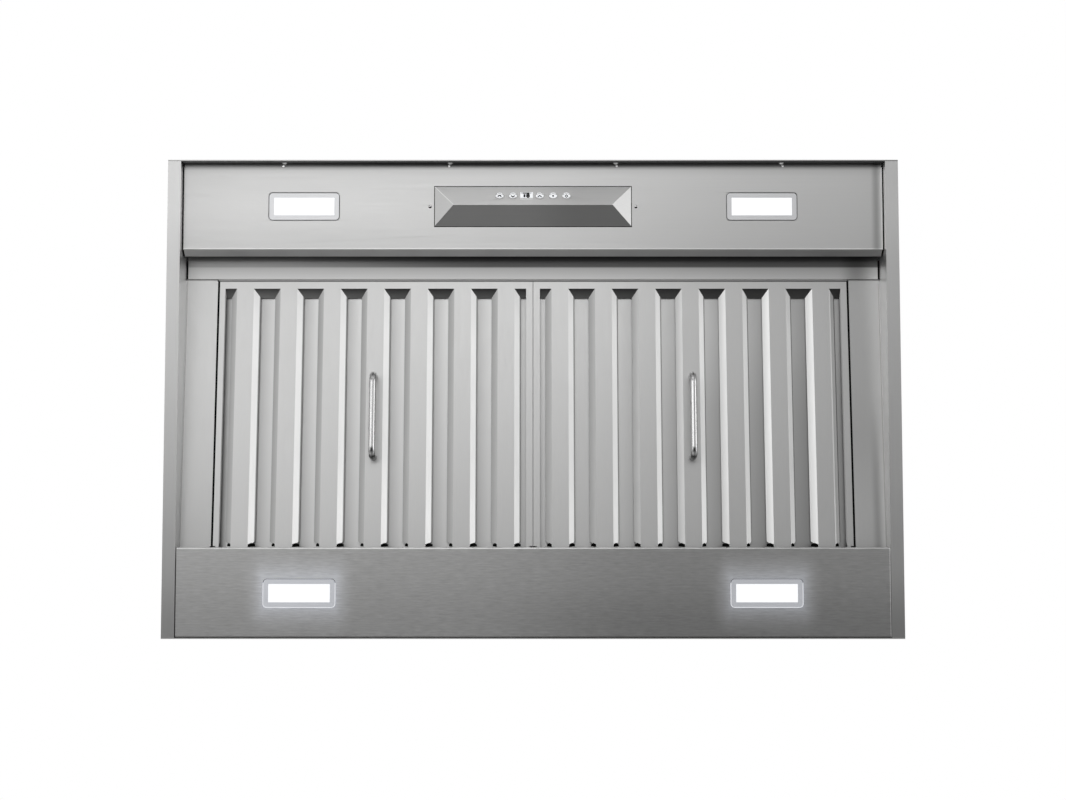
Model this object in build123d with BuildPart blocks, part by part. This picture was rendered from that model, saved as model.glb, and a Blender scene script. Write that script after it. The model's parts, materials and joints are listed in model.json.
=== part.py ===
from build123d import *

import os
from math import acos, asin, atan2, cos, degrees, radians, sin, tan

os.makedirs("parts", exist_ok=True)

# Range hood insert, built into a cabinet above a cooktop.
# Frame: the origin is the centre of the rim plane, the lowest plane of the hood.
# +X points right as seen from the front, -Y points to the front, +Z points up.
# Lengths are in millimetres and angles in degrees.

# ------------------------------------------------------------------ driving dimensions

# Tray: the lower housing that shows from below
hood_width = 857.25
hood_depth = 558.8
tray_height = 102.0
sheet = 1.2
front_sheet = 1.5
bend_radius = 2.0
side_flange_width = 15.2
top_flange_width = 24.0
panel_side_gap = 1.8
rear_panel_gap = 0.5
rear_panel_end_gap = 0.3
side_strip_width = 36.425
strip_end_gap = 2.7
shelf_drop = 2.4

# Control panel, front ledge and rear light panel
control_panel_height = 12.6
control_panel_rear_y = -175.0
control_flange_height = 10.6
lip_run = 6.8
lip_rise = 10.0
ledge_height = 42.0
ledge_front_y = -178.0
ledge_rear_y = -143.8
light_panel_front_y = 174.3
light_panel_front_flange = 5.0
light_panel_rear_flange = 20.0

# Baffle filters: they lie in a plane that falls to the rear
filter_length = 340.0
filter_thickness = 14.8
filter_middle_gap = 0.6
filter_side_gap = 1.9
filter_front_y = -142.0
filter_front_height = 45.0
filter_slope = 4.5
filter_sheet = 0.8
ridge_width = 20.0
ridge_count = 7
side_pocket_width = 13.89
side_border = 7.9
front_border = 9.0
rear_border = 16.0
pocket_depth = 9.0
pocket_side_run = 7.4
pocket_front_run = 9.7
pocket_wall_growth = 1.0
pocket_wall_end = 316.0
pocket_wall_end_run = 6.0
throat_gap = 3.0
rear_channel_half_width = 19.5
rear_channel_tip = 3.5
rear_channel_end = 321.0
rear_channel_tie = 8.0
frame_inset = 4.0
frame_sheet = 1.0
frame_side_lip = 8.0
frame_rear_lip = 22.0
frame_clearance = 0.3

# Filter hinge at the rear and catches at the front
rod_radius = 2.5
rod_running_gap = 0.05
rod_from_rear = 13.0
rod_height = 6.0
ear_width = 3.0
ear_notch_length = 24.0
rail_setback = 4.0
rail_height = 34.8
rail_foot = 4.0
catch_gap = 1.2
catch_width = 14.0
catch_height = 10.4
catch_setback = 2.4
catch_xs = (100.0, 275.0)

# Filter handles
handle_diameter = 7.9
handle_feet = 96.0
handle_standoff = 28.0
handle_bend = 10.0
handle_from_front = 164.0
handle_screw_radius = 2.0
handle_screw_depth = 8.0
handle_screw_head = 3.6
handle_screw_head_height = 2.5

# Control pod, a hip-roof wedge on the control panel
pod_length = 231.7
pod_width = 47.3
pod_height = 12.0
pod_hip_run = 22.8
pod_wall = 1.5
pod_y = -226.2
pod_boss_x = 88.0
pod_boss_radius = 3.5
pod_screw_x = 121.4
pod_screw_radius = 1.25
pod_bracket_length = 254.0
pod_bracket_width = 36.0
window_length = 120.0
window_width = 24.0
window_from_pod = -8.8

# Buttons, display and control board
button_radius = 5.2
button_gap = 0.15
button_proud = 0.4
button_flange = 6.4
button_flange_gap = 0.3
button_flange_height = 1.1
button_travel = 0.8
button_pitch = 15.75
button_names = ("power_button", "slower_button", None, "faster_button", "light_button", "timer_button")
display_length = 15.0
display_width = 10.0
display_gap = 0.1
display_flange = 1.0
board_depth = 6.5
board_thickness = 1.6
board_length = 112.0
board_width = 18.0
board_post_x = 52.0
board_post_radius = 2.5
switch_size = 6.0
switch_gap = 0.2
display_flange_sheet = 0.8

# Lamps
lamp_length = 82.5
lamp_width = 32.0
lamp_corner = 4.0
lamp_cutout_gap = 0.9
lamp_flange_length = 104.0
lamp_flange_width = 42.0
lamp_body_length = 78.0
lamp_body_width = 27.0
lamp_body_height = 20.0
lens_length = 71.0
lens_width = 20.8
lens_corner = 0.5
lens_thickness = 2.9
lens_gap = 0.1
lamp_throat_length = 66.0
lamp_throat_width = 17.0
lamp_board_length = 71.4
lamp_board_width = 21.4
lamp_board_height = 12.0
lamp_board_gap = 0.3
lamp_top = 1.5
lamp_x = 270.0
front_lamp_y = -226.3
rear_lamp_y = 227.0
stud_x = 47.0
stud_radius = 1.5
stud_height = 7.0
nut_radius = 3.0
nut_height = 2.4
thread_gap = 0.02

# Blower box on the top plate
box_width = 460.0
box_depth = 330.0
box_height = 190.0
box_flange = 18.0
box_ledge = 15.0

# Scrolls, impellers and motor
axis_y = -64.75
axis_height = 98.0
scroll_inner_x = 45.0
scroll_width = 91.0
scroll_sheet = 1.0
scroll_radius = 98.0
scroll_step = 7.0
tongue_angle = 60.0
inlet_radius = 56.0
inlet_ring_radius = 68.0
inlet_lip = 6.0
inlet_lip_gap = 3.0
shaft_radius = 4.0
shaft_running_gap = 0.05
shaft_half_length = 132.0
shaft_hole_radius = 12.0
wheel_radius = 64.0
wheel_inner_radius = 54.0
wheel_start_x = 50.0
wheel_end_x = 128.0
wheel_disc = 1.5
wheel_ring = 2.0
blade_count = 32
blade_thickness = 1.0
blade_angle = 40.0
hub_radius = 11.0
hub_length = 18.0
hub_overhang = 2.0
motor_radius = 46.0
motor_half_length = 34.0
motor_bell_radius = 38.0
motor_rib = 4.0
motor_rib_count = 12
cradle_sheet = 2.0
cradle_half_width = 50.0
cradle_drop = 60.0

# Duct transition, collar and damper
transition_length = 290.0
transition_width = 110.0
transition_height = 40.0
transition_flange = 15.0
collar_radius = 100.0
collar_height = 48.0
stop_ring_width = 5.0
stop_ring_gap = 0.3
spindle_radius = 2.0
knuckle_radius = 4.0
knuckle_length = 28.0
knuckle_pitch = 45.0
knuckle_gap = 0.5
flap_radius = 97.3
flap_sheet = 0.8
flap_notch = 5.0
flap_split = 0.3
spindle_height = 13.0

# Junction box, cable inlet and what the box holds
junction_x = 332.0
junction_y = 110.0
junction_length = 140.0
junction_width = 100.0
junction_height = 55.0
junction_ledge = 8.0
inlet_hole_radius = 11.1
inlet_bore_radius = 8.0
inlet_flange_radius = 13.5
inlet_flange = 2.0
inlet_length = 10.0
inlet_height = 30.0
power_board_length = 78.0
power_board_width = 84.0
power_board_post = 5.0
power_board_post_radius = 3.0
power_board_edge = 5.0
# Transformer, terminal block and three relays: place on the board, length, width and height
power_board_parts = (
    (-18.0, 18.0, 32.0, 28.0, 22.0),
    (0.0, -34.0, 60.0, 11.0, 14.0),
    (22.0, 26.0, 16.0, 13.0, 15.0),
    (22.0, 9.0, 16.0, 13.0, 15.0),
    (22.0, -8.0, 16.0, 13.0, 15.0),
)
capacitor_radius = 15.0
capacitor_length = 62.0
capacitor_gap = 0.05
capacitor_from_board = 23.5

# Hanging holes and screws
hang_inset_x = 12.625
hang_inset_y = 39.4
hang_hole_radius = 4.5
screw_radius = 2.0
screw_head_radius = 3.0
screw_head_height = 1.8
screw_gap = 0.05
wall_screw_length = 2.7
long_screw_length = 6.0
small_head_radius = 2.1
small_head_height = 1.3
front_screw_xs = (-292.5, -97.5, 97.5, 292.5)
front_screw_height = 6.0
rear_screw_height = 12.0
side_screw_y = 70.0
box_screw_x = 150.0
box_screw_y = 80.0
duct_screw_x = 95.0

# ------------------------------------------------------------------ derived places

half_width = hood_width / 2
half_depth = hood_depth / 2
front_face = -half_depth + front_sheet
rear_face = half_depth - sheet
inner_wall_x = half_width - side_flange_width
top_under = tray_height - sheet

filter_width = inner_wall_x - side_strip_width - filter_side_gap - filter_middle_gap / 2
filter_x = filter_middle_gap / 2 + filter_width / 2
filter_outer_x = filter_x + filter_width / 2
strip_x = filter_outer_x + filter_side_gap
strip_front_y = ledge_front_y + sheet + strip_end_gap
filter_face = Plane(
    origin=(filter_x, filter_front_y, filter_front_height),
    x_dir=(1, 0, 0),
    z_dir=(0, sin(radians(filter_slope)), cos(radians(filter_slope))),
)
rod_place = filter_face.from_local_coords((0, filter_length - rod_from_rear, rod_height))
rail_y = filter_face.from_local_coords((0, filter_length, 0)).Y + rail_setback
strip_rear_y = rail_y - sheet
low_shelf = filter_face.from_local_coords((0, filter_length, 0)).Z - shelf_drop

pod_slope = degrees(atan2(pod_height, pod_width / 2))
pod_face = Plane(
    origin=(0, pod_y - pod_width / 4, control_panel_height - pod_height / 2),
    x_dir=(1, 0, 0),
    z_dir=(0, -sin(radians(pod_slope)), -cos(radians(pod_slope))),
)
button_xs = [(i - (len(button_names) - 1) / 2) * button_pitch for i in range(len(button_names))]
display_x = button_xs[button_names.index(None)]
bracket_bottom = control_panel_height + sheet
bracket_top = bracket_bottom + sheet

box_top = tray_height + box_height
axis_z = tray_height + axis_height
scroll_outer_x = scroll_inner_x + scroll_width
scroll_top = box_top - sheet
transition_top = box_top + transition_height
spindle_z = transition_top + spindle_height

# ------------------------------------------------------------------ helpers

BASE = (Align.CENTER, Align.CENTER, Align.MIN)
TOP = (Align.CENTER, Align.CENTER, Align.MAX)


def save(piece, label):
    """Label a finished piece and write it as a STEP file."""
    piece.part.label = label
    export_step(piece.part, f"parts/{label}.step")


def block(x_span, y_span, z_span, mode=Mode.ADD):
    """A box between two corners, in the frame of the active part."""
    spans = (x_span, y_span, z_span)
    with Locations(tuple(sum(span) / 2 for span in spans)):
        Box(*(span[1] - span[0] for span in spans), mode=mode)


def bent_sheet(points, x_span):
    """A sheet folded along a profile in the YZ plane, to the left of its path, and run along X."""
    with BuildSketch(Plane.YZ.offset(x_span[0])) as profile:
        with BuildLine():
            FilletPolyline(*points, radius=bend_radius)
            offset(amount=sheet, side=Side.LEFT, kind=Kind.INTERSECTION)
        make_face()
    extrude(profile.sketch, amount=x_span[1] - x_span[0])


def drill(sites, radius, depth=12.0):
    """Round holes through the sheets next to each site, along the site's normal."""
    with Locations(*sites):
        Cylinder(radius, depth, mode=Mode.SUBTRACT)


def screws(sites, radius, length, head_radius, head_height):
    """Round-head screws that seat at each site, with the head on the side of the normal."""
    ball_radius = (head_radius**2 + head_height**2) / (2 * head_height)
    cap_start = degrees(asin((ball_radius - head_height) / ball_radius))
    with Locations(*sites):
        Cylinder(radius, length, align=TOP)
        Sphere(ball_radius, arc_size1=cap_start, align=BASE)


def upward(points, height):
    """Sites on a level plane, with their normals up."""
    return [Plane(origin=(x, y, height), z_dir=(0, 0, 1)) for x, y in points]


def slope_height(y):
    """Height of the filters' visible face at a depth y."""
    return filter_front_height - (y - filter_front_y) * tan(radians(filter_slope))


def mirrored(values):
    """Each value and its mirror image."""
    return [side * value for value in values for side in (-1, 1)]


# ------------------------------------------------------------------ screw and hole sites

front_screw_sites = [
    Plane(origin=(x, front_face + sheet, front_screw_height), x_dir=(1, 0, 0), z_dir=(0, 1, 0))
    for x in front_screw_xs
]
rear_screw_y = rear_face - rear_panel_end_gap - sheet
rear_screw_sites = [
    Plane(origin=(x, rear_screw_y, rear_screw_height), x_dir=(1, 0, 0), z_dir=(0, -1, 0))
    for x in front_screw_xs
]
edge_inset = top_flange_width / 2
edge_y = half_depth - edge_inset
edge_x = half_width - edge_inset
top_screw_points = [(x, y) for x in front_screw_xs for y in (-edge_y, edge_y)]
top_screw_points += [(x, y) for x in (-edge_x, edge_x) for y in (-side_screw_y, side_screw_y)]
top_screw_sites = upward(top_screw_points, tray_height)
hang_points = [
    (x, y)
    for x in mirrored([half_width - hang_inset_x])
    for y in mirrored([half_depth - hang_inset_y])
]
hang_sites = upward(hang_points, tray_height)
box_edge_x = box_width / 2 + box_flange / 2
box_edge_y = box_depth / 2 + box_flange / 2
box_screw_points = [(x, y) for x in (-box_screw_x, 0, box_screw_x) for y in (-box_edge_y, box_edge_y)]
box_screw_points += [(x, y) for x in (-box_edge_x, box_edge_x) for y in (-box_screw_y, box_screw_y)]
box_screw_sites = upward(box_screw_points, tray_height + sheet)
duct_edge_x = transition_length / 2 + transition_flange / 2
duct_edge_y = transition_width / 2 + transition_flange / 2
duct_screw_points = [(x, y) for x in (-duct_screw_x, duct_screw_x) for y in (-duct_edge_y, duct_edge_y)]
duct_screw_points += [(x, 0) for x in (-duct_edge_x, duct_edge_x)]
duct_screw_sites = upward(duct_screw_points, box_top + sheet)
pod_screw_sites = [
    Plane(origin=(x, pod_y, control_panel_height), x_dir=(1, 0, 0), z_dir=(0, 0, -1))
    for x in (-pod_screw_x, pod_screw_x)
]
pod_boss_sites = upward([(-pod_boss_x, pod_y), (pod_boss_x, pod_y)], bracket_top)
lamp_places = {
    "front_left": (-lamp_x, front_lamp_y, control_panel_height),
    "front_right": (lamp_x, front_lamp_y, control_panel_height),
    "rear_left": (-lamp_x, rear_lamp_y, 0),
    "rear_right": (lamp_x, rear_lamp_y, 0),
}

# ------------------------------------------------------------------ tray

flange_end_x = half_width - top_flange_width - panel_side_gap
flange_z = (top_under - sheet, top_under)

with BuildPart() as front_wall:
    block((-half_width, half_width), (-half_depth, front_face), (0, top_under))
    block((-flange_end_x, flange_end_x), (front_face, front_face + top_flange_width), flange_z)
    drill(front_screw_sites, screw_radius + screw_gap)
    drill(top_screw_sites, screw_radius + screw_gap)
save(front_wall, "front_wall")

with BuildPart() as rear_wall:
    block((-half_width, half_width), (rear_face, half_depth), (0, top_under))
    block((-flange_end_x, flange_end_x), (rear_face - top_flange_width, rear_face), flange_z)
    drill(rear_screw_sites, screw_radius + screw_gap)
    drill(top_screw_sites, screw_radius + screw_gap)
save(rear_wall, "rear_wall")

# One sheet forms the outer wall, the rim flange, the inner wall and the strip beside the filter.
with BuildPart() as right_side_panel:
    block((half_width - sheet, half_width), (front_face, rear_face), (0, top_under))
    block((inner_wall_x, half_width), (front_face, rear_face), (0, sheet))
    block((half_width - top_flange_width, half_width), (front_face, rear_face), flange_z)
    with BuildSketch(Plane.YZ.offset(inner_wall_x)):
        with BuildLine():
            Polyline(
                (front_face, 0),
                (rear_face, 0),
                (rear_face, low_shelf),
                (strip_rear_y, low_shelf),
                (strip_rear_y, slope_height(strip_rear_y) + sheet),
                (front_face, slope_height(front_face) + sheet),
                close=True,
            )
        make_face()
    extrude(amount=sheet)
    with BuildSketch(Plane.YZ.offset(strip_x)):
        with BuildLine():
            Polyline(
                (strip_front_y, slope_height(strip_front_y)),
                (strip_rear_y, slope_height(strip_rear_y)),
                (strip_rear_y, slope_height(strip_rear_y) + sheet),
                (strip_front_y, slope_height(strip_front_y) + sheet),
                close=True,
            )
        make_face()
    extrude(amount=inner_wall_x + sheet - strip_x)
    drill(top_screw_sites, screw_radius + screw_gap)
    drill(hang_sites, hang_hole_radius)
save(right_side_panel, "right_side_panel")

with BuildPart() as left_side_panel:
    mirror(right_side_panel.part, about=Plane.YZ)
save(left_side_panel, "left_side_panel")

with BuildPart() as top_plate:
    block((-half_width, half_width), (-half_depth, half_depth), (top_under, tray_height))
    opening_x = box_width / 2 - box_ledge
    opening_y = box_depth / 2 - box_ledge
    block((-opening_x, opening_x), (-opening_y, opening_y), (top_under, tray_height), mode=Mode.SUBTRACT)
    drill(top_screw_sites, screw_radius + screw_gap)
    drill(box_screw_sites, screw_radius + screw_gap)
    drill(hang_sites, hang_hole_radius)
save(top_plate, "top_plate")

# ------------------------------------------------------------------ panels

panel_half = inner_wall_x - panel_side_gap


def lamp_cutouts(lamp_names):
    """Openings in a panel for its flush lamps."""
    for name in lamp_names:
        x, y, height = lamp_places[name]
        with BuildSketch(Plane.XY.offset(height)) as cutout:
            with Locations((x, y)):
                RectangleRounded(
                    lamp_length + 2 * lamp_cutout_gap,
                    lamp_width + 2 * lamp_cutout_gap,
                    lamp_corner + lamp_cutout_gap,
                )
        extrude(cutout.sketch, amount=sheet, mode=Mode.SUBTRACT)


with BuildPart() as control_panel:
    bent_sheet(
        [
            (front_face + sheet, control_panel_height - control_flange_height),
            (front_face + sheet, control_panel_height),
            (control_panel_rear_y, control_panel_height),
            (control_panel_rear_y + lip_run, control_panel_height + lip_rise),
        ],
        (-panel_half, panel_half),
    )
    lamp_cutouts(["front_left", "front_right"])
    window_y = pod_y + window_from_pod
    window_spans = (
        (-window_length / 2, window_length / 2),
        (window_y - window_width / 2, window_y + window_width / 2),
    )
    block(*window_spans, (control_panel_height, bracket_bottom), mode=Mode.SUBTRACT)
    drill(front_screw_sites, screw_radius + screw_gap)
    drill(pod_screw_sites, pod_screw_radius + screw_gap)
    drill(pod_boss_sites, pod_boss_radius + screw_gap)
save(control_panel, "control_panel")

with BuildPart() as front_ledge:
    bent_sheet(
        [(ledge_front_y, top_under - sheet), (ledge_front_y, ledge_height), (ledge_rear_y, ledge_height)],
        (-panel_half, panel_half),
    )
save(front_ledge, "front_ledge")

rear_panel_half = inner_wall_x - rear_panel_gap

with BuildPart() as rear_light_panel:
    bent_sheet(
        [
            (light_panel_front_y, light_panel_front_flange),
            (light_panel_front_y, 0),
            (rear_face - rear_panel_end_gap, 0),
            (rear_face - rear_panel_end_gap, light_panel_rear_flange),
        ],
        (-rear_panel_half, rear_panel_half),
    )
    lamp_cutouts(["rear_left", "rear_right"])
    drill(rear_screw_sites, screw_radius + screw_gap)
save(rear_light_panel, "rear_light_panel")

# ------------------------------------------------------------------ filter rail, rod and catches

ear_spans = (
    (-filter_outer_x, ear_width - filter_outer_x),
    (-ear_width / 2, ear_width / 2),
    (filter_outer_x - ear_width, filter_outer_x),
)

with BuildPart() as rear_filter_rail:
    bent_sheet(
        [(rail_y, rail_height), (rail_y, sheet), (rail_y + rail_foot, sheet)],
        (-panel_half, panel_half),
    )
    for ear_span in ear_spans:
        block(
            ear_span,
            (rod_place.Y - 2 * rod_radius, rail_y),
            (rod_place.Z - 2 * rod_radius + sheet, rod_place.Z + 2 * rod_radius),
        )
    with Locations(Location((0, rod_place.Y, rod_place.Z), (0, 90, 0))):
        Cylinder(rod_radius, 2 * filter_outer_x, mode=Mode.SUBTRACT)
save(rear_filter_rail, "rear_filter_rail")

with BuildPart() as filter_hinge_rod:
    with Locations(Location((0, rod_place.Y, rod_place.Z), (0, 90, 0))):
        Cylinder(rod_radius, 2 * filter_outer_x)
save(filter_hinge_rod, "filter_hinge_rod")

ledge_top = ledge_height + sheet
catch_tip_z = filter_front_height + catch_height
catch_tip = filter_face.from_local_coords((0, frame_inset, catch_height)).Y - catch_gap
catch_back = ledge_rear_y - catch_setback

with BuildPart() as filter_catches:
    for catch_x in mirrored(catch_xs):
        catch_span = (catch_x - catch_width / 2, catch_x + catch_width / 2)
        block(catch_span, (catch_back - catch_width, catch_back), (ledge_top, ledge_top + filter_sheet))
        block(catch_span, (catch_back - filter_sheet, catch_back), (ledge_top, catch_tip_z))
        block(catch_span, (catch_back - filter_sheet, catch_tip), (catch_tip_z - filter_sheet, catch_tip_z))
save(filter_catches, "filter_catches")

# ------------------------------------------------------------------ baffle filters
# Everything here is in the filter's own frame: x across, y from its front edge to its rear, z up
# from its visible face.

filter_half = filter_width / 2
frame_half = filter_half - frame_inset
frame_span = (frame_inset, filter_length - frame_inset)
side_pocket_edge = filter_half - side_border
last_ridge_x = side_pocket_edge - side_pocket_width - ridge_width / 2
ridge_pitch = 2 * last_ridge_x / (ridge_count - 1)
pocket_centers = [(i - (ridge_count - 2) / 2) * ridge_pitch for i in range(ridge_count - 1)]
pocket_half = (ridge_pitch - ridge_width) / 2
last_ridge_edge = last_ridge_x + ridge_width / 2
opening_rear = filter_length - rear_border
channel_floor = pocket_depth + throat_gap
channel_top = channel_floor + filter_sheet


def pocket_form(low, high, left_run, right_run, grow, mode):
    """A tapered form from the visible face to the throat. With grow it is the sheet's outside."""
    wall_end = pocket_wall_end if grow else pocket_wall_end + filter_sheet
    levels = (
        (0, low - grow, high + grow, front_border - grow, wall_end),
        (
            pocket_depth,
            low - grow + left_run,
            high + grow - right_run,
            front_border - grow + pocket_front_run,
            wall_end - pocket_wall_end_run,
        ),
    )
    sections = []
    for height, x_low, x_high, y_low, y_high in levels:
        with BuildSketch(filter_face.offset(height)) as section:
            with Locations(((x_low + x_high) / 2, (y_low + y_high) / 2)):
                Rectangle(x_high - x_low, y_high - y_low)
        sections.append(section.sketch)
    loft(sections, ruled=True, mode=mode)


pockets = [(x - pocket_half, x + pocket_half, pocket_side_run, pocket_side_run) for x in pocket_centers]
pockets.append((-side_pocket_edge, -last_ridge_edge, 0, pocket_side_run))
pockets.append((last_ridge_edge, side_pocket_edge, pocket_side_run, 0))
handle_foot_ys = (-handle_feet / 2, handle_feet / 2)
handle_sites = [
    Plane(
        origin=filter_face.from_local_coords((0, handle_from_front + y, filter_sheet)),
        x_dir=filter_face.x_dir,
        z_dir=filter_face.z_dir,
    )
    for y in handle_foot_ys
]

with BuildPart(filter_face) as right_filter_front_baffle:
    block((-filter_half, filter_half), (0, filter_length), (0, filter_sheet))
    for low, high, left_run, right_run in pockets:
        pocket_form(low, high, left_run, right_run, pocket_wall_growth, Mode.ADD)
    for low, high, left_run, right_run in pockets:
        pocket_form(low, high, left_run, right_run, 0, Mode.SUBTRACT)
        block((low, high), (pocket_wall_end, opening_rear), (0, filter_sheet), mode=Mode.SUBTRACT)
    # Notches beside the frame leave room for the hinge ears.
    for side in (-1, 1):
        notch_x = side * (frame_half + filter_half) / 2
        block(
            (notch_x - frame_inset / 2, notch_x + frame_inset / 2),
            (filter_length - ear_notch_length, filter_length),
            (0, filter_sheet),
            mode=Mode.SUBTRACT,
        )
    with Locations(*[(0, handle_from_front + y) for y in handle_foot_ys]):
        Cylinder(handle_screw_radius + screw_gap, 4 * filter_sheet, mode=Mode.SUBTRACT)
save(right_filter_front_baffle, "right_filter_front_baffle")

with BuildPart(filter_face) as right_filter_rear_baffle:
    channel_span = (frame_inset + frame_sheet + frame_clearance, rear_channel_end)
    channel_end_x = frame_half - frame_sheet - frame_clearance
    channels = [(x - rear_channel_half_width, x + rear_channel_half_width) for x in pocket_centers]
    side_channel_x = last_ridge_edge + pocket_half - rear_channel_half_width
    channels.append((-channel_end_x, -side_channel_x))
    channels.append((side_channel_x, channel_end_x))
    for low, high in channels:
        block((low, high), channel_span, (rear_channel_tip, channel_top))
        inner_low = low if low == -channel_end_x else low + filter_sheet
        inner_high = high if high == channel_end_x else high - filter_sheet
        block((inner_low, inner_high), channel_span, (rear_channel_tip, channel_floor), mode=Mode.SUBTRACT)
    tie_top = filter_thickness - filter_sheet
    for tie_start in (channel_span[0], channel_span[1] - rear_channel_tie):
        tie_span = (tie_start, tie_start + rear_channel_tie)
        block((-channel_end_x, channel_end_x), tie_span, (channel_top, tie_top))
save(right_filter_rear_baffle, "right_filter_rear_baffle")

with BuildPart(filter_face) as right_filter_frame:
    block((-frame_half, frame_half), frame_span, (filter_sheet, filter_thickness))
    frame_inner = frame_half - frame_sheet
    inner_span = (frame_span[0] + frame_sheet, frame_span[1] - frame_sheet)
    lip_under = filter_thickness - filter_sheet
    block((-frame_inner, frame_inner), inner_span, (filter_sheet, lip_under), mode=Mode.SUBTRACT)
    lip_x = frame_inner - frame_side_lip
    lip_span = (inner_span[0] + frame_side_lip, inner_span[1] - frame_rear_lip)
    block((-lip_x, lip_x), lip_span, (lip_under, filter_thickness), mode=Mode.SUBTRACT)
    with Locations(Location((0, filter_length - rod_from_rear, rod_height), (0, 90, 0))):
        Cylinder(rod_radius + rod_running_gap, 2 * filter_half, mode=Mode.SUBTRACT)
save(right_filter_frame, "right_filter_frame")

handle_plane = Plane(
    origin=filter_face.from_local_coords((0, handle_from_front, 0)),
    x_dir=filter_face.y_dir,
    z_dir=filter_face.x_dir,
)
bar_height = -(handle_standoff - handle_diameter / 2)

with BuildPart() as right_filter_handle:
    with BuildLine(handle_plane) as handle_path:
        FilletPolyline(
            (-handle_feet / 2, 0),
            (-handle_feet / 2, bar_height),
            (handle_feet / 2, bar_height),
            (handle_feet / 2, 0),
            radius=handle_bend,
        )
    with BuildSketch(Plane(origin=handle_path.line @ 0, z_dir=handle_path.line % 0)):
        Circle(handle_diameter / 2)
    sweep()
    drill(handle_sites, handle_screw_radius + screw_gap, 2 * (handle_screw_depth + filter_sheet))
save(right_filter_handle, "right_filter_handle")

with BuildPart() as right_handle_screws:
    screws(
        handle_sites,
        handle_screw_radius,
        handle_screw_depth,
        handle_screw_head,
        handle_screw_head_height,
    )
save(right_handle_screws, "right_handle_screws")

filter_pieces = {
    "filter_front_baffle": right_filter_front_baffle,
    "filter_rear_baffle": right_filter_rear_baffle,
    "filter_frame": right_filter_frame,
    "filter_handle": right_filter_handle,
    "handle_screws": right_handle_screws,
}
for filter_name, right_piece in filter_pieces.items():
    with BuildPart() as left_piece:
        mirror(right_piece.part, about=Plane.YZ)
    save(left_piece, f"left_{filter_name}")

# ------------------------------------------------------------------ control pod


def hip_roof(length, width, height, hip_run):
    """A wedge under the control panel with sloped faces on all four sides."""
    with BuildSketch(Plane.YZ.offset(-length / 2)) as cross_section:
        with BuildLine():
            Polyline(
                (pod_y - width / 2, control_panel_height),
                (pod_y, control_panel_height - height),
                (pod_y + width / 2, control_panel_height),
                close=True,
            )
        make_face()
    extrude(cross_section.sketch, amount=length)
    with BuildSketch(Plane.XZ.offset(-pod_y - width / 2)) as front_outline:
        with BuildLine():
            Polyline(
                (-length / 2, control_panel_height),
                (-length / 2 + hip_run, control_panel_height - height),
                (length / 2 - hip_run, control_panel_height - height),
                (length / 2, control_panel_height),
                close=True,
            )
        make_face()
    extrude(front_outline.sketch, amount=width, mode=Mode.INTERSECT)


hip_slope = degrees(atan2(pod_height, pod_hip_run))
cavity_height = pod_height - pod_wall / cos(radians(pod_slope))
cavity_width = pod_width - 2 * pod_wall / sin(radians(pod_slope))
cavity_length = pod_length - 2 * pod_wall / sin(radians(hip_slope))

with BuildPart() as pod_cavity:
    hip_roof(cavity_length, cavity_width, cavity_height, cavity_height / tan(radians(hip_slope)))

with BuildPart() as control_pod:
    hip_roof(pod_length, pod_width, pod_height, pod_hip_run)
    add(pod_cavity.part, mode=Mode.SUBTRACT)
    # Bosses reach through the panel to the bracket behind it.
    with Locations(*[(x, pod_y, bracket_bottom) for x in (-pod_boss_x, pod_boss_x)]):
        Cylinder(pod_boss_radius, sheet + cavity_height - pod_wall / 2, align=TOP)
    drill(pod_boss_sites, pod_screw_radius + screw_gap, 2 * (sheet + pod_height / 2))
    # Posts for the control board, square to the button face.
    with BuildSketch(pod_face.offset(-board_depth)):
        with Locations((-board_post_x, 0), (board_post_x, 0)):
            Circle(board_post_radius)
    extrude(amount=board_depth - pod_wall)
    with BuildSketch(pod_face):
        with Locations(*[(x, 0) for x in button_xs if x != display_x]):
            Circle(button_radius + button_gap)
        with Locations((display_x, 0)):
            Rectangle(display_length + 2 * display_gap, display_width + 2 * display_gap)
    extrude(amount=-2 * pod_wall, mode=Mode.SUBTRACT)
save(control_pod, "control_pod")

for button_name, button_x in zip(button_names, button_xs):
    if button_name is None:
        continue
    with BuildPart() as button:
        with BuildSketch(pod_face.offset(button_proud)):
            with Locations((button_x, 0)):
                Circle(button_radius)
        extrude(amount=-(button_proud + pod_wall + button_flange_gap))
        with BuildSketch(pod_face.offset(-pod_wall - button_flange_gap)):
            with Locations((button_x, 0)):
                Circle(button_flange)
        extrude(amount=-button_flange_height)
    save(button, button_name)

with BuildPart() as display_window:
    with BuildSketch(pod_face):
        with Locations((display_x, 0)):
            Rectangle(display_length, display_width)
    extrude(amount=-pod_wall)
    with BuildSketch(pod_face.offset(-pod_wall)):
        with Locations((display_x, 0)):
            Rectangle(display_length + 2 * display_flange, display_width + 2 * display_flange)
    extrude(amount=-display_flange_sheet)
save(display_window, "display_window")

board_room = board_depth - pod_wall - button_flange_gap
display_module_height = board_room - display_flange_sheet
switch_height = board_room - button_flange_height - button_travel - switch_gap

with BuildPart() as control_board:
    with BuildSketch(pod_face.offset(-board_depth)):
        Rectangle(board_length, board_width)
    extrude(amount=-board_thickness)
    with BuildSketch(pod_face.offset(-board_depth)):
        with Locations(*[(x, 0) for x in button_xs if x != display_x]):
            Rectangle(switch_size, switch_size)
    extrude(amount=switch_height)
    with BuildSketch(pod_face.offset(-board_depth)):
        with Locations((display_x, 0)):
            Rectangle(display_length, display_width)
    extrude(amount=display_module_height)
save(control_board, "control_board")

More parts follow.
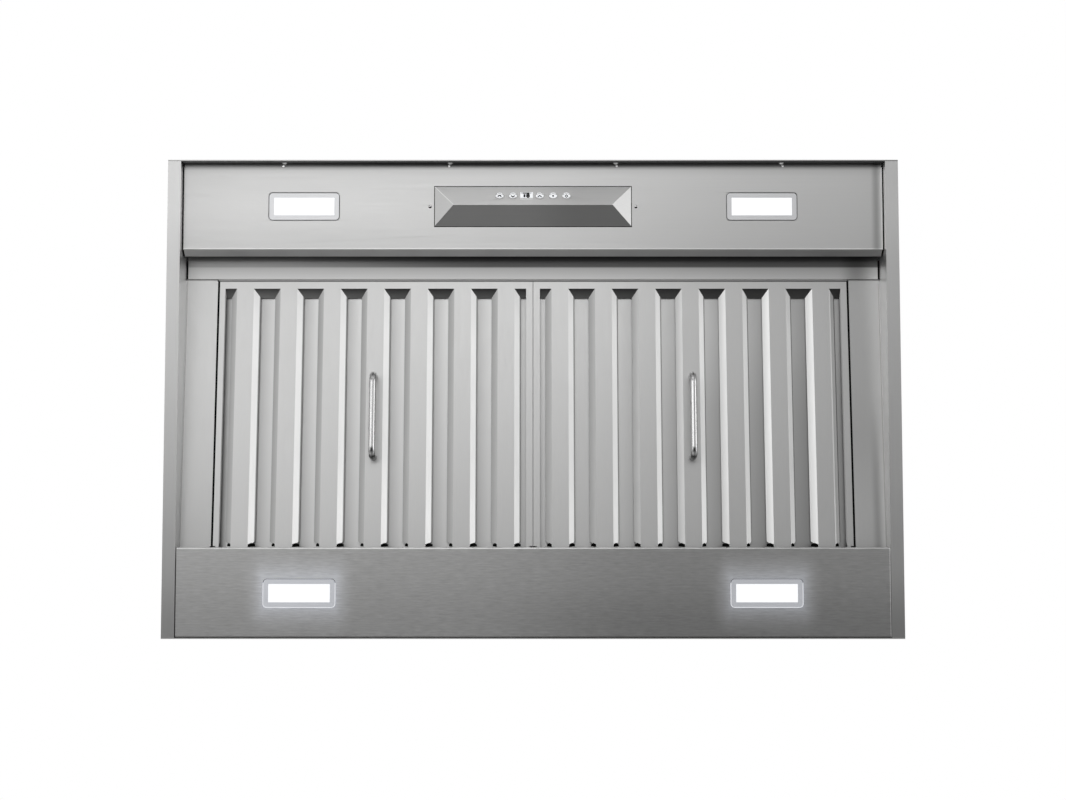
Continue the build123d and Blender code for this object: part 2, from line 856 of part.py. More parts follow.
with BuildPart() as pod_bracket:
    bracket_half = pod_bracket_length / 2
    bracket_span = (pod_y - pod_bracket_width / 2, pod_y + pod_bracket_width / 2)
    block((-bracket_half, bracket_half), bracket_span, (bracket_bottom, bracket_top))
    block(*window_spans, (bracket_bottom, bracket_top), mode=Mode.SUBTRACT)
    drill(pod_screw_sites, pod_screw_radius + thread_gap)
    drill(pod_boss_sites, pod_screw_radius + screw_gap)
save(pod_bracket, "pod_bracket")

# ------------------------------------------------------------------ lamps


def lamp_layer(place, start, height, length, width, corner=0.0, mode=Mode.ADD):
    """A level slab of a lamp, from a height above its visible face."""
    x, y, face = place
    with BuildSketch(Plane.XY.offset(face + start)) as slab:
        with Locations((x, y)):
            if corner > 0:
                RectangleRounded(length, width, corner)
            else:
                Rectangle(length, width)
    extrude(slab.sketch, amount=height, mode=mode)


def studs_of(place):
    """Where a lamp's two studs stand on the back of its panel."""
    x, y, face = place
    return [(x - stud_x, y, face + sheet), (x + stud_x, y, face + sheet)]


for lamp_name, place in lamp_places.items():
    with BuildPart() as lamp_housing:
        lamp_layer(place, 0, sheet, lamp_length, lamp_width, lamp_corner)
        lamp_layer(place, sheet, sheet, lamp_flange_length, lamp_flange_width)
        lamp_layer(place, 2 * sheet, lamp_body_height - 2 * sheet, lamp_body_length, lamp_body_width)
        lamp_layer(
            place,
            0,
            lens_thickness,
            lens_length + 2 * lens_gap,
            lens_width + 2 * lens_gap,
            lens_corner + lens_gap,
            mode=Mode.SUBTRACT,
        )
        lamp_layer(place, 0, lamp_board_height, lamp_throat_length, lamp_throat_width, mode=Mode.SUBTRACT)
        lamp_layer(
            place,
            lamp_board_height,
            lamp_body_height - lamp_top - lamp_board_height,
            lamp_board_length + 2 * lamp_board_gap,
            lamp_board_width + 2 * lamp_board_gap,
            mode=Mode.SUBTRACT,
        )
        drill(studs_of(place), stud_radius + screw_gap, 4 * sheet)
    save(lamp_housing, f"{lamp_name}_lamp_housing")
    with BuildPart() as lamp_lens:
        lamp_layer(place, 0, lens_thickness, lens_length, lens_width, lens_corner)
    save(lamp_lens, f"{lamp_name}_lamp_lens")

with BuildPart() as lamp_led_boards:
    for place in lamp_places.values():
        lamp_layer(place, lamp_board_height, board_thickness, lamp_board_length, lamp_board_width)
save(lamp_led_boards, "lamp_led_boards")

# Weld studs on the panels' backs, each with a nut on the lamp's flange.
stud_points = [point for place in lamp_places.values() for point in studs_of(place)]

with BuildPart() as lamp_nuts:
    for x, y, back in stud_points:
        with BuildSketch(Plane.XY.offset(back + sheet)):
            with Locations((x, y)):
                RegularPolygon(nut_radius, 6)
                Circle(stud_radius + thread_gap, mode=Mode.SUBTRACT)
        extrude(amount=nut_height)
    with Locations(*stud_points):
        Cylinder(stud_radius, stud_height, align=BASE)
save(lamp_nuts, "lamp_nuts")

# ------------------------------------------------------------------ blower box

box_half_x = box_width / 2
box_half_y = box_depth / 2
scroll_radii = [scroll_radius - i * scroll_step for i in range(4)]
tongue_y = scroll_radii[3] * cos(radians(tongue_angle)) - scroll_step

with BuildPart() as blower_box_flange:
    flange_span = (tray_height, tray_height + sheet)
    block(
        (-box_half_x - box_flange, box_half_x + box_flange),
        (-box_half_y - box_flange, box_half_y + box_flange),
        flange_span,
    )
    block((-box_half_x, box_half_x), (-box_half_y, box_half_y), flange_span, mode=Mode.SUBTRACT)
    drill(box_screw_sites, screw_radius + screw_gap)
save(blower_box_flange, "blower_box_flange")

with BuildPart() as blower_box:
    block((-box_half_x, box_half_x), (-box_half_y, box_half_y), (tray_height, box_top))
    block(
        (-box_half_x + sheet, box_half_x - sheet),
        (-box_half_y + sheet, box_half_y - sheet),
        (tray_height, box_top - sheet),
        mode=Mode.SUBTRACT,
    )
    for side in (-1, 1):
        outlet_ends = (side * (scroll_inner_x + scroll_sheet), side * (scroll_outer_x - scroll_sheet))
        block(
            sorted(outlet_ends),
            (axis_y + tongue_y, axis_y + scroll_radius),
            (box_top - sheet, box_top),
            mode=Mode.SUBTRACT,
        )
    drill(duct_screw_sites, screw_radius + screw_gap)
save(blower_box, "blower_box")

# ------------------------------------------------------------------ scrolls
# The scroll is drawn from four arcs whose centres step round a small square.


def axis_plane(x):
    """A plane square to the shaft, with its origin on the shaft's axis."""
    return Plane(origin=(x, axis_y, axis_z), x_dir=(0, 1, 0), z_dir=(1, 0, 0))


def scroll_outline(grow):
    """The scroll's outline, closed across its outlet, moved outwards by grow."""
    radii = [radius + grow for radius in scroll_radii]
    wall_y = tongue_y - grow
    end_angle = degrees(acos((wall_y + scroll_step) / radii[3]))
    Line((scroll_radius + grow, outlet_rise), (scroll_radius + grow, 0))
    CenterArc((0, 0), radii[0], 0, -90)
    CenterArc((0, -scroll_step), radii[1], -90, -90)
    CenterArc((-scroll_step, -scroll_step), radii[2], 180, -90)
    CenterArc((-scroll_step, 0), radii[3], 90, end_angle - 90)
    Line((wall_y, radii[3] * sin(radians(end_angle))), (wall_y, outlet_rise))
    Line((wall_y, outlet_rise), (scroll_radius + grow, outlet_rise))


outlet_rise = scroll_top - axis_z

with BuildPart() as right_scroll:
    with BuildSketch(axis_plane(scroll_inner_x)):
        with BuildLine():
            scroll_outline(scroll_sheet)
        make_face()
        with BuildLine():
            scroll_outline(0)
        make_face(mode=Mode.SUBTRACT)
    extrude(amount=scroll_width)
    for plate_x, hole_radius in (
        (scroll_inner_x, shaft_hole_radius),
        (scroll_outer_x - scroll_sheet, inlet_radius),
    ):
        with BuildSketch(axis_plane(plate_x)):
            with BuildLine():
                scroll_outline(0)
            make_face()
            Circle(hole_radius, mode=Mode.SUBTRACT)
        extrude(amount=scroll_sheet)
save(right_scroll, "right_scroll")

with BuildPart() as left_scroll:
    mirror(right_scroll.part, about=Plane.YZ)
save(left_scroll, "left_scroll")

with BuildPart() as right_inlet_ring:
    lip_radius = inlet_radius - inlet_lip_gap
    with BuildSketch(axis_plane(scroll_outer_x)):
        Circle(inlet_ring_radius)
        Circle(lip_radius, mode=Mode.SUBTRACT)
    extrude(amount=scroll_sheet)
    with BuildSketch(axis_plane(scroll_outer_x - inlet_lip)):
        Circle(lip_radius + scroll_sheet)
        Circle(lip_radius, mode=Mode.SUBTRACT)
    extrude(amount=inlet_lip)

with BuildPart() as inlet_rings:
    add(right_inlet_ring.part)
    mirror(right_inlet_ring.part, about=Plane.YZ)
save(inlet_rings, "inlet_rings")

# ------------------------------------------------------------------ motor and impellers

bell_end = scroll_inner_x - cradle_sheet

with BuildPart() as motor:
    with BuildSketch(axis_plane(-bell_end)):
        Circle(motor_bell_radius)
    extrude(amount=2 * bell_end)
    with BuildSketch(axis_plane(-motor_half_length)):
        Circle(motor_radius - motor_rib / 2)
        with PolarLocations(motor_radius - motor_rib / 2, motor_rib_count):
            Rectangle(motor_rib, motor_rib)
    extrude(amount=2 * motor_half_length)
    with BuildSketch(axis_plane(-bell_end)):
        Circle(shaft_radius + shaft_running_gap)
    extrude(amount=2 * bell_end, mode=Mode.SUBTRACT)
save(motor, "motor")

with BuildPart() as motor_cradle:
    plate_y = (axis_y - cradle_half_width, axis_y + cradle_half_width)
    for plate_x in ((-scroll_inner_x, -bell_end), (bell_end, scroll_inner_x)):
        block(plate_x, plate_y, (axis_z - cradle_drop, axis_z + cradle_half_width))
    base_z = (axis_z - cradle_drop, axis_z - cradle_drop + cradle_sheet)
    block((-scroll_inner_x, scroll_inner_x), plate_y, base_z)
    with BuildSketch(axis_plane(-scroll_inner_x)):
        Circle(shaft_hole_radius)
    extrude(amount=2 * scroll_inner_x, mode=Mode.SUBTRACT)
save(motor_cradle, "motor_cradle")

with BuildPart() as motor_shaft:
    with BuildSketch(axis_plane(-shaft_half_length)):
        Circle(shaft_radius)
    extrude(amount=2 * shaft_half_length)
save(motor_shaft, "motor_shaft")

blade_chord = (wheel_radius - wheel_inner_radius) / cos(radians(blade_angle))

with BuildPart() as right_impeller:
    with BuildSketch(axis_plane(wheel_start_x)):
        with PolarLocations((wheel_radius + wheel_inner_radius) / 2, blade_count):
            Rectangle(blade_chord, blade_thickness, rotation=blade_angle)
        Circle(wheel_radius, mode=Mode.INTERSECT)
    extrude(amount=wheel_end_x - wheel_start_x)
    with BuildSketch(axis_plane(wheel_start_x)):
        Circle(wheel_radius)
    extrude(amount=wheel_disc)
    with BuildSketch(axis_plane(wheel_end_x - wheel_ring)):
        Circle(wheel_radius)
        Circle(wheel_inner_radius + wheel_ring, mode=Mode.SUBTRACT)
    extrude(amount=wheel_ring)
    with BuildSketch(axis_plane(wheel_start_x - hub_overhang)):
        Circle(hub_radius)
    extrude(amount=hub_length)
    with BuildSketch(axis_plane(wheel_start_x - hub_overhang)):
        Circle(shaft_radius + thread_gap)
    extrude(amount=hub_length, mode=Mode.SUBTRACT)
save(right_impeller, "right_impeller")

with BuildPart() as left_impeller:
    mirror(right_impeller.part, about=Plane.YZ)
save(left_impeller, "left_impeller")

# ------------------------------------------------------------------ duct collar and damper

collar_inner = collar_radius - sheet

with BuildPart() as duct_collar:
    with BuildSketch(Plane.XY.offset(box_top)):
        Rectangle(transition_length + 2 * transition_flange, transition_width + 2 * transition_flange)
    extrude(amount=sheet)
    with BuildSketch(Plane.XY.offset(box_top)):
        Rectangle(transition_length + 2 * sheet, transition_width + 2 * sheet)
    with BuildSketch(Plane.XY.offset(transition_top)):
        Circle(collar_radius)
    loft()
    with BuildSketch(Plane.XY.offset(box_top)):
        Rectangle(transition_length, transition_width)
    with BuildSketch(Plane.XY.offset(transition_top)):
        Circle(collar_inner)
    loft(mode=Mode.SUBTRACT)
    with BuildSketch(Plane.XY.offset(transition_top)):
        Circle(collar_radius)
        Circle(collar_inner, mode=Mode.SUBTRACT)
    extrude(amount=collar_height)
    with BuildSketch(Plane.XY.offset(spindle_z - knuckle_radius - stop_ring_gap - sheet)):
        Circle(collar_inner)
        Circle(collar_inner - stop_ring_width, mode=Mode.SUBTRACT)
    extrude(amount=sheet)
    with Locations(Location((0, 0, spindle_z), (0, 90, 0))):
        Cylinder(spindle_radius, 2 * collar_radius, mode=Mode.SUBTRACT)
    drill(duct_screw_sites, screw_radius + screw_gap)
save(duct_collar, "duct_collar")

with BuildPart() as damper_spindle:
    with Locations(Location((0, 0, spindle_z), (0, 90, 0))):
        Cylinder(spindle_radius, 2 * collar_radius)
save(damper_spindle, "damper_spindle")

outer_knuckles = mirrored([1.5 * knuckle_pitch])
inner_knuckles = mirrored([0.5 * knuckle_pitch])

for flap_name, side, own_xs, other_xs in (
    ("front_damper_flap", -1, outer_knuckles, inner_knuckles),
    ("rear_damper_flap", 1, inner_knuckles, outer_knuckles),
):
    with BuildPart() as damper_flap:
        with BuildSketch(Plane.XY.offset(spindle_z - knuckle_radius)):
            Circle(flap_radius)
            with Locations((0, side * (flap_split + flap_radius))):
                Rectangle(2 * flap_radius, 2 * flap_radius, mode=Mode.INTERSECT)
            with Locations(*[(x, 0) for x in other_xs]):
                Rectangle(knuckle_length + 2 * knuckle_gap, 2 * flap_notch, mode=Mode.SUBTRACT)
        extrude(amount=flap_sheet)
        with Locations(*[Location((x, 0, spindle_z), (0, 90, 0)) for x in own_xs]):
            Cylinder(knuckle_radius, knuckle_length)
        with Locations(Location((0, 0, spindle_z), (0, 90, 0))):
            Cylinder(spindle_radius + shaft_running_gap, 2 * collar_radius, mode=Mode.SUBTRACT)
    save(damper_flap, flap_name)

# ------------------------------------------------------------------ junction box

junction_x_span = (junction_x - junction_length / 2, junction_x + junction_length / 2)
junction_y_span = (junction_y - junction_width / 2, junction_y + junction_width / 2)
junction_top = tray_height + junction_height
junction_wall_x = junction_x_span[1]
inlet_z = tray_height + inlet_height
inlet_plane = Plane(origin=(junction_wall_x, junction_y, inlet_z), x_dir=(0, 1, 0), z_dir=(1, 0, 0))
cover_inset_y = junction_ledge / 2 + sheet
cover_screw_points = [
    (x, y)
    for x in (junction_x_span[0] + junction_ledge, junction_x_span[1] - junction_ledge)
    for y in (junction_y_span[0] + cover_inset_y, junction_y_span[1] - cover_inset_y)
]
cover_screw_sites = upward(cover_screw_points, junction_top + sheet)

with BuildPart() as junction_box:
    block(junction_x_span, junction_y_span, (tray_height, junction_top))
    inner_x = (junction_x_span[0] + sheet, junction_x_span[1] - sheet)
    inner_y = (junction_y_span[0] + sheet, junction_y_span[1] - sheet)
    ledge_y = (inner_y[0] + junction_ledge, inner_y[1] - junction_ledge)
    block(inner_x, inner_y, (tray_height + sheet, junction_top - sheet), mode=Mode.SUBTRACT)
    block(inner_x, ledge_y, (junction_top - sheet, junction_top), mode=Mode.SUBTRACT)
    drill(cover_screw_sites, screw_radius + screw_gap)
    drill([inlet_plane], inlet_hole_radius, 4 * sheet)
save(junction_box, "junction_box")

with BuildPart() as junction_box_cover:
    block(junction_x_span, junction_y_span, (junction_top, junction_top + sheet))
    drill(cover_screw_sites, screw_radius + screw_gap)
save(junction_box_cover, "junction_box_cover")

with BuildPart() as cable_inlet_bushing:
    with BuildSketch(inlet_plane):
        Circle(inlet_flange_radius)
    extrude(amount=inlet_flange)
    with BuildSketch(inlet_plane):
        Circle(inlet_hole_radius - screw_gap)
    extrude(amount=inlet_flange - inlet_length)
    with BuildSketch(inlet_plane.offset(inlet_flange)):
        Circle(inlet_bore_radius)
    extrude(amount=-inlet_length, mode=Mode.SUBTRACT)
save(cable_inlet_bushing, "cable_inlet_bushing")

floor_z = tray_height + sheet
power_x = junction_x_span[0] + sheet + power_board_length / 2 + junction_ledge
power_bottom = floor_z + power_board_post

with BuildPart() as power_board:
    with BuildSketch(Plane.XY.offset(power_bottom)):
        with Locations((power_x, junction_y)):
            Rectangle(power_board_length, power_board_width)
    extrude(amount=board_thickness)
    post_pitch_x = power_board_length - 2 * power_board_edge
    post_pitch_y = power_board_width - 2 * power_board_edge
    with BuildSketch(Plane.XY.offset(floor_z)):
        with Locations((power_x, junction_y)):
            with GridLocations(post_pitch_x, post_pitch_y, 2, 2):
                Circle(power_board_post_radius)
    extrude(amount=power_board_post)
    for x, y, length, width, height in power_board_parts:
        with BuildSketch(Plane.XY.offset(power_bottom + board_thickness)):
            with Locations((power_x + x, junction_y + y)):
                Rectangle(length, width)
        extrude(amount=height)
save(power_board, "power_board")

with BuildPart() as motor_capacitor:
    capacitor_x = power_x + power_board_length / 2 + capacitor_from_board
    capacitor_z = floor_z + capacitor_gap + capacitor_radius
    with Locations(Location((capacitor_x, junction_y, capacitor_z), (90, 0, 0))):
        Cylinder(capacitor_radius, capacitor_length)
save(motor_capacitor, "motor_capacitor")

# ------------------------------------------------------------------ screws of the housing

with BuildPart() as panel_screws:
    for sites, length in (
        (front_screw_sites, wall_screw_length),
        (rear_screw_sites, wall_screw_length),
        (top_screw_sites, long_screw_length),
        (box_screw_sites, long_screw_length),
        (duct_screw_sites, long_screw_length),
        (cover_screw_sites, long_screw_length),
    ):
        screws(sites, screw_radius, length, screw_head_radius, screw_head_height)
    for sites, length in (
        (pod_screw_sites, 2 * sheet),
        (pod_boss_sites, sheet + pod_height / 2),
    ):
        screws(sites, pod_screw_radius, length, small_head_radius, small_head_height)
save(panel_screws, "panel_screws")
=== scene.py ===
import json
import math

import bmesh
import bpy
from mathutils import Matrix, Vector


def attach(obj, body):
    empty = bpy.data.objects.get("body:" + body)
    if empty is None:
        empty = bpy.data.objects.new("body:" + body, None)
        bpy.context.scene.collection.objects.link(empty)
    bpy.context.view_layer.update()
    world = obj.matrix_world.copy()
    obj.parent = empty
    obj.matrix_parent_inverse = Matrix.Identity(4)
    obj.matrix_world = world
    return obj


# Looks of the range hood insert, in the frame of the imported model: +X right as seen from the
# front, -Y to the front, +Z up, and the rim at Z = 0. The camera looks up from below.
# Material nodes, camera and lamps take metres. Pieces are laid out in millimetres.

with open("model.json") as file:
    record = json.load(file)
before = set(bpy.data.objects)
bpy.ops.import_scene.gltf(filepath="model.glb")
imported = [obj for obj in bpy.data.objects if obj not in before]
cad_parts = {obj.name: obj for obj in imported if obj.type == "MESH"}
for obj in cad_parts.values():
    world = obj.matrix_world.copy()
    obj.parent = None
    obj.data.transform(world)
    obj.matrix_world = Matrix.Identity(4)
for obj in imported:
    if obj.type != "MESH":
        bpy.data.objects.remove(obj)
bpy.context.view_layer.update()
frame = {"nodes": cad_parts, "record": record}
nodes = frame["nodes"]
record = frame["record"]
scene = bpy.context.scene
MM = 0.001

# Sizes of the CAD that the looks refer to, in millimetres
FILTER_X = 187.7  # the middle of a filter, and of its handle
FILTER_FRONT_Y, FILTER_FRONT_Z = -142.0, 45.0  # front edge of the filters' visible face
FILTER_SLOPE = math.radians(4.5)
RIDGE_PITCH = 51.87
LAMP_X, FRONT_LAMP_Y, REAR_LAMP_Y = 270.0, -226.3, 227.0
BEZEL_HALF, BEZEL_CORNER = (41.25, 16.0), 4.0
PANEL_Z = 12.6
POD_Y, POD_LENGTH, POD_WIDTH, POD_HEIGHT, POD_HIP_RUN = -226.2, 231.7, 47.3, 12.0, 22.8
BUTTON_PITCH, BUTTON_FACE = 15.75, 0.4
DISPLAY_X = -0.5 * BUTTON_PITCH


def add_object(name, data):
    """A new object in the scene."""
    item = bpy.data.objects.new(name, data)
    scene.collection.objects.link(item)
    return item


# ------------------------------------------------------------------ camera

TILT = math.radians(4.18)
CAMERA_PLACE = Vector((0.0, 0.1492, -1.9927))
SENSOR_WIDTH, LENS = 36.0, 58.02  # in millimetres
CLIP_END = 50.0

camera_data = bpy.data.cameras.new("camera")
camera_data.sensor_width = SENSOR_WIDTH
camera_data.lens = LENS
camera_data.clip_end = CLIP_END
camera = add_object("camera", camera_data)
right = Vector((1, 0, 0))
up = Vector((0, -math.cos(TILT), -math.sin(TILT)))
back = Vector((0, math.sin(TILT), -math.cos(TILT)))
camera_turn = Matrix((right, up, back)).transposed().to_4x4()
camera.matrix_world = Matrix.Translation(CAMERA_PLACE) @ camera_turn
scene.camera = camera
scene.view_settings.view_transform = "Standard"

# ------------------------------------------------------------------ material nodes

materials = {}


class Tree:
    """A material's node tree, with short calls for the nodes that the finishes share."""

    def __init__(self, name):
        self.material = bpy.data.materials.new(name)
        self.material.use_nodes = True
        self.nodes = self.material.node_tree.nodes
        self.links = self.material.node_tree.links
        self.nodes.clear()
        self.output = self.nodes.new("ShaderNodeOutputMaterial")
        self.coordinates = self.nodes.new("ShaderNodeTexCoord").outputs
        materials[name] = self.material

    def set(self, socket, value):
        """Link a socket to a value, or give it a plain number."""
        if isinstance(value, bpy.types.NodeSocket):
            self.links.new(value, socket)
        else:
            socket.default_value = value

    def math(self, operation, *values):
        node = self.nodes.new("ShaderNodeMath")
        node.operation = operation
        for socket, value in zip(node.inputs, values):
            self.set(socket, value)
        return node.outputs[0]

    def parts(self, vector):
        """The X, Y and Z of a vector."""
        node = self.nodes.new("ShaderNodeSeparateXYZ")
        self.links.new(vector, node.inputs[0])
        return node.outputs

    def place(self, along):
        """The place on an axis."""
        return self.parts(self.coordinates["Object"])["XYZ".index(along)]

    def facing(self, along):
        """How far the surface faces along an axis, from -1 to 1."""
        return self.parts(self.coordinates["Normal"])["XYZ".index(along)]

    def away(self, value, centre):
        """The distance between two values."""
        return self.math("ABSOLUTE", self.math("SUBTRACT", value, centre))

    def noise(self, scale, detail):
        """Noise with its own scale along each axis, in cycles per metre."""
        mapping = self.nodes.new("ShaderNodeMapping")
        mapping.inputs["Scale"].default_value = scale
        self.links.new(self.coordinates["Object"], mapping.inputs["Vector"])
        noise = self.nodes.new("ShaderNodeTexNoise")
        noise.inputs["Scale"].default_value = 1.0
        noise.inputs["Detail"].default_value = detail
        noise.inputs["Roughness"].default_value = 0.55
        self.links.new(mapping.outputs[0], noise.inputs["Vector"])
        return noise.outputs["Fac"]

    def even_noise(self, scale, detail):
        """Noise with one scale along all axes."""
        return self.noise((scale, scale, scale), detail)

    def spread(self, value, low, high, start=0.0, end=1.0, smooth=False):
        """A value mapped from start..end to low..high."""
        node = self.nodes.new("ShaderNodeMapRange")
        node.interpolation_type = "SMOOTHSTEP" if smooth else "LINEAR"
        names = ("Value", "From Min", "From Max", "To Min", "To Max")
        for name, setting in zip(names, (value, start, end, low, high)):
            self.set(node.inputs[name], setting)
        return node.outputs[0]

    def grain_spread(self, noise, low, high):
        """The middle of a noise's range mapped to low..high."""
        return self.spread(noise, low, high, 0.3, 0.7)

    def step(self, along, edge, low, high, soft=0.0003):
        """Low below a place on an axis and high above it, with a soft edge."""
        return self.spread(self.place(along), low, high, edge - soft, edge + soft)

    def ramp(self, along, low, high, start, end):
        """Low before one place on an axis, high after another, and a smooth change between."""
        return self.spread(self.place(along), low, high, start, end, smooth=True)

    def halves(self, along, low, high):
        """One value for each half of the hood, left and right or front and rear."""
        return self.ramp(along, low, high, -0.1, 0.1)

    def band(self, along, centre, reach, value):
        """A value at a place on an axis that fades to 1 on both sides of it."""
        away = self.away(self.place(along), centre)
        return self.spread(away, value, 1.0, 0.0, reach, smooth=True)

    def product(self, first, *values):
        for value in values:
            first = self.math("MULTIPLY", first, value)
        return first

    def tint(self, colour, value):
        """A colour times a value."""
        node = self.nodes.new("ShaderNodeVectorMath")
        node.operation = "SCALE"
        node.inputs[0].default_value = colour
        self.set(node.inputs["Scale"], value)
        return node.outputs[0]

    def mix(self, kind, fac, a, b):
        """Value a where fac is 0, and b where it is 1. Kind is RGBA or VECTOR."""
        node = self.nodes.new("ShaderNodeMix")
        node.data_type = kind
        self.set(node.inputs["Factor"], fac)
        inputs, output = {"RGBA": ((6, 7), 2), "VECTOR": ((4, 5), 1)}[kind]
        for index, value in zip(inputs, (a, b)):
            self.links.new(value, node.inputs[index])
        return node.outputs[output]

    def bump(self, height, strength, distance):
        node = self.nodes.new("ShaderNodeBump")
        node.inputs["Strength"].default_value = strength
        node.inputs["Distance"].default_value = distance
        self.links.new(height, node.inputs["Height"])
        return node.outputs[0]

    def shader(self, colour, roughness, metallic=0.0, normal=None, **sockets):
        """The finish itself. Further sockets are named with _ for each space."""
        node = self.nodes.new("ShaderNodeBsdfPrincipled")
        node.inputs["Metallic"].default_value = metallic
        self.set(node.inputs["Base Color"], colour)
        self.set(node.inputs["Roughness"], roughness)
        if normal is not None:
            self.links.new(normal, node.inputs["Normal"])
        for name, value in sockets.items():
            self.set(node.inputs[name.replace("_", " ")], value)
        self.links.new(node.outputs[0], self.output.inputs["Surface"])


# The grain's scale along X, Y and Z: long strokes along an axis, or short ones along X
GRAIN = {"X": (5.0, 620.0, 620.0), "Y": (620.0, 5.0, 620.0), "short": (55.0, 480.0, 480.0)}
FINE_GRAIN = {
    "X": (14.0, 1500.0, 1500.0),
    "Y": (1500.0, 14.0, 1500.0),
    "short": (110.0, 900.0, 900.0),
}
STEEL = (0.76, 0.76, 0.755)
# The steel's colour where painted bluish lamp light falls on it
LAMP_TINT_STEEL = (0.74, 0.757, 0.80)


def steel(
    name, colour, grain, rough=0.38, contrast=0.035, shade=None, lamp_tint=None, lean=None, glow=None
):
    """Brushed stainless steel.

    The shade function paints light and shade into the colour at each place, and the tint
    function paints bluish lamp light where it falls. Lean changes where walls get their shine,
    and glow adds light that lamps throw on the metal.
    """
    tree = Tree(name)
    wide = tree.noise(GRAIN[grain], 2.0)
    fine = tree.noise(FINE_GRAIN[grain], 3.0)
    streaks = tree.math("MULTIPLY_ADD", fine, 0.5, tree.math("MULTIPLY", wide, 0.5))
    value = tree.product(
        tree.grain_spread(streaks, 1.0 - contrast, 1.0 + contrast),
        tree.grain_spread(tree.even_noise(3.0, 2.0), 0.985, 1.015),
    )
    if shade is not None:
        value = tree.math("MINIMUM", tree.product(value, shade(tree)), 1.0 / colour[0])
    finish = tree.tint(colour, value)
    if lamp_tint is not None:
        finish = tree.mix("RGBA", lamp_tint(tree), finish, tree.tint(LAMP_TINT_STEEL, value))
    roughness = tree.grain_spread(streaks, rough - 0.05, rough + 0.05)
    normal = tree.bump(streaks, 0.12, 0.0002)
    if lean is not None:
        normal = lean(tree, normal)
    lit_up = {}
    if glow is not None:
        glow_colour = tree.tint(LAMP_TINT_STEEL, glow(tree))
        lit_up = {"Emission_Color": glow_colour, "Emission_Strength": 1.0}
    tree.shader(finish, roughness, 1.0, normal, **lit_up)


# ------------------------------------------------------------------ painted light and shade on the steel parts
#
# Most functions give a factor on the steel's colour: painted light and shade, such as painted
# shadows, highlights, reflections and lamp glow. The numbers along the axes are places of
# bends, seams and edges, in metres. The tones are fitted to the reference picture.

RIM_SOFT, SEAM_SOFT, POCKET_SOFT = 0.00005, 0.00004, 0.001  # how soft a tone's edge is
LIP_Y = -0.1752  # where the control panel's lip turns up
POCKET_DEPTH = 0.009
# The glow round the rear lamps is painted light on the rear light panel
GLOW_HALF, GLOW_REACH = (0.041, 0.016), 0.027  # the glow's inner edge round a rear lamp


def rear_painted_shade(tree):
    """Painted shade: the rear of the hood a little darker than its front."""
    return tree.ramp("Y", 1.0, 0.74, -0.05, 0.26)


def front_wall_shade(tree):
    """Painted shade: full on the outside, darker on the rim's edge, dark on the inside."""
    return tree.product(
        tree.step("Y", -0.2793, 1.0, tree.ramp("X", 0.66, 0.46, -0.10, 0.35), RIM_SOFT),
        tree.step("Y", -0.27795, 1.0, tree.ramp("X", 0.20, 0.14, -0.2, 0.2), RIM_SOFT),
    )


def panel_shade(tree):
    """Painted light: dark in the bend behind the rim, bright in the bend before the lip, a
    darker lip.
    """
    y = tree.place("Y")
    bend = tree.product(
        tree.step("Y", -0.2764, 0.8, 1.0),
        tree.spread(y, tree.ramp("X", 0.45, 0.28, -0.40, -0.12), 1.0, -0.2755, -0.2725),
        tree.spread(y, 0.68, 1.0, -0.2729, -0.2695),
        tree.spread(y, 0.91, 1.0, -0.270, -0.262),
    )
    # A painted highlight along the bend before the lip
    lip_bend_highlight = tree.product(
        tree.step("Y", -0.1767, 0.0, 0.45), tree.step("Y", LIP_Y, 1.0, 0.0)
    )
    # Painted light and shade on the flat: a little darker towards the lip, more so at the
    # right, and at the far left; lighter along the lamps on the left; a painted dark reflection
    # near the right end and a painted highlight on that end
    flat = tree.product(
        tree.spread(y, 0.89, tree.ramp("X", 0.87, 0.80, -0.10, 0.25), -0.27, -0.18),
        tree.ramp("X", 0.94, 1.0, -0.42, -0.33),
        tree.band("Y", -0.226, 0.05, tree.ramp("X", 1.09, 1.0, -0.25, 0.0)),
        tree.band("X", 0.4050, 0.0075, 0.66),
        tree.step("X", 0.4110, 1.0, 1.3, 0.0002),
    )
    lip = tree.ramp("X", 1.06, 0.68, -0.10, 0.40)
    return tree.product(
        bend, tree.math("ADD", 1.0, lip_bend_highlight), tree.step("Y", LIP_Y, flat, lip)
    )


def ledge_shade(tree):
    """Nearly black just behind the lip, then dark, then steel that brightens to the rear."""
    # Painted shadow of the lip on the ledge, a painted dark line at the rear edge beside the
    # filters, and painted shade to the right
    return tree.product(
        tree.step("Y", -0.1673, 0.9, 1.0),
        tree.step("Y", -0.1582, tree.ramp("X", 0.69, 0.28, -0.36, -0.04), 1.0, 0.0010),
        tree.step("Y", -0.1431, 1.0, 0.42, SEAM_SOFT),
        tree.spread(tree.place("Y"), 0.58, 0.82, -0.1592, -0.146),
        tree.ramp("X", 1.0, 0.92, 0.10, 0.30),
        tree.band("X", 0.386, 0.024, 0.62),
    )


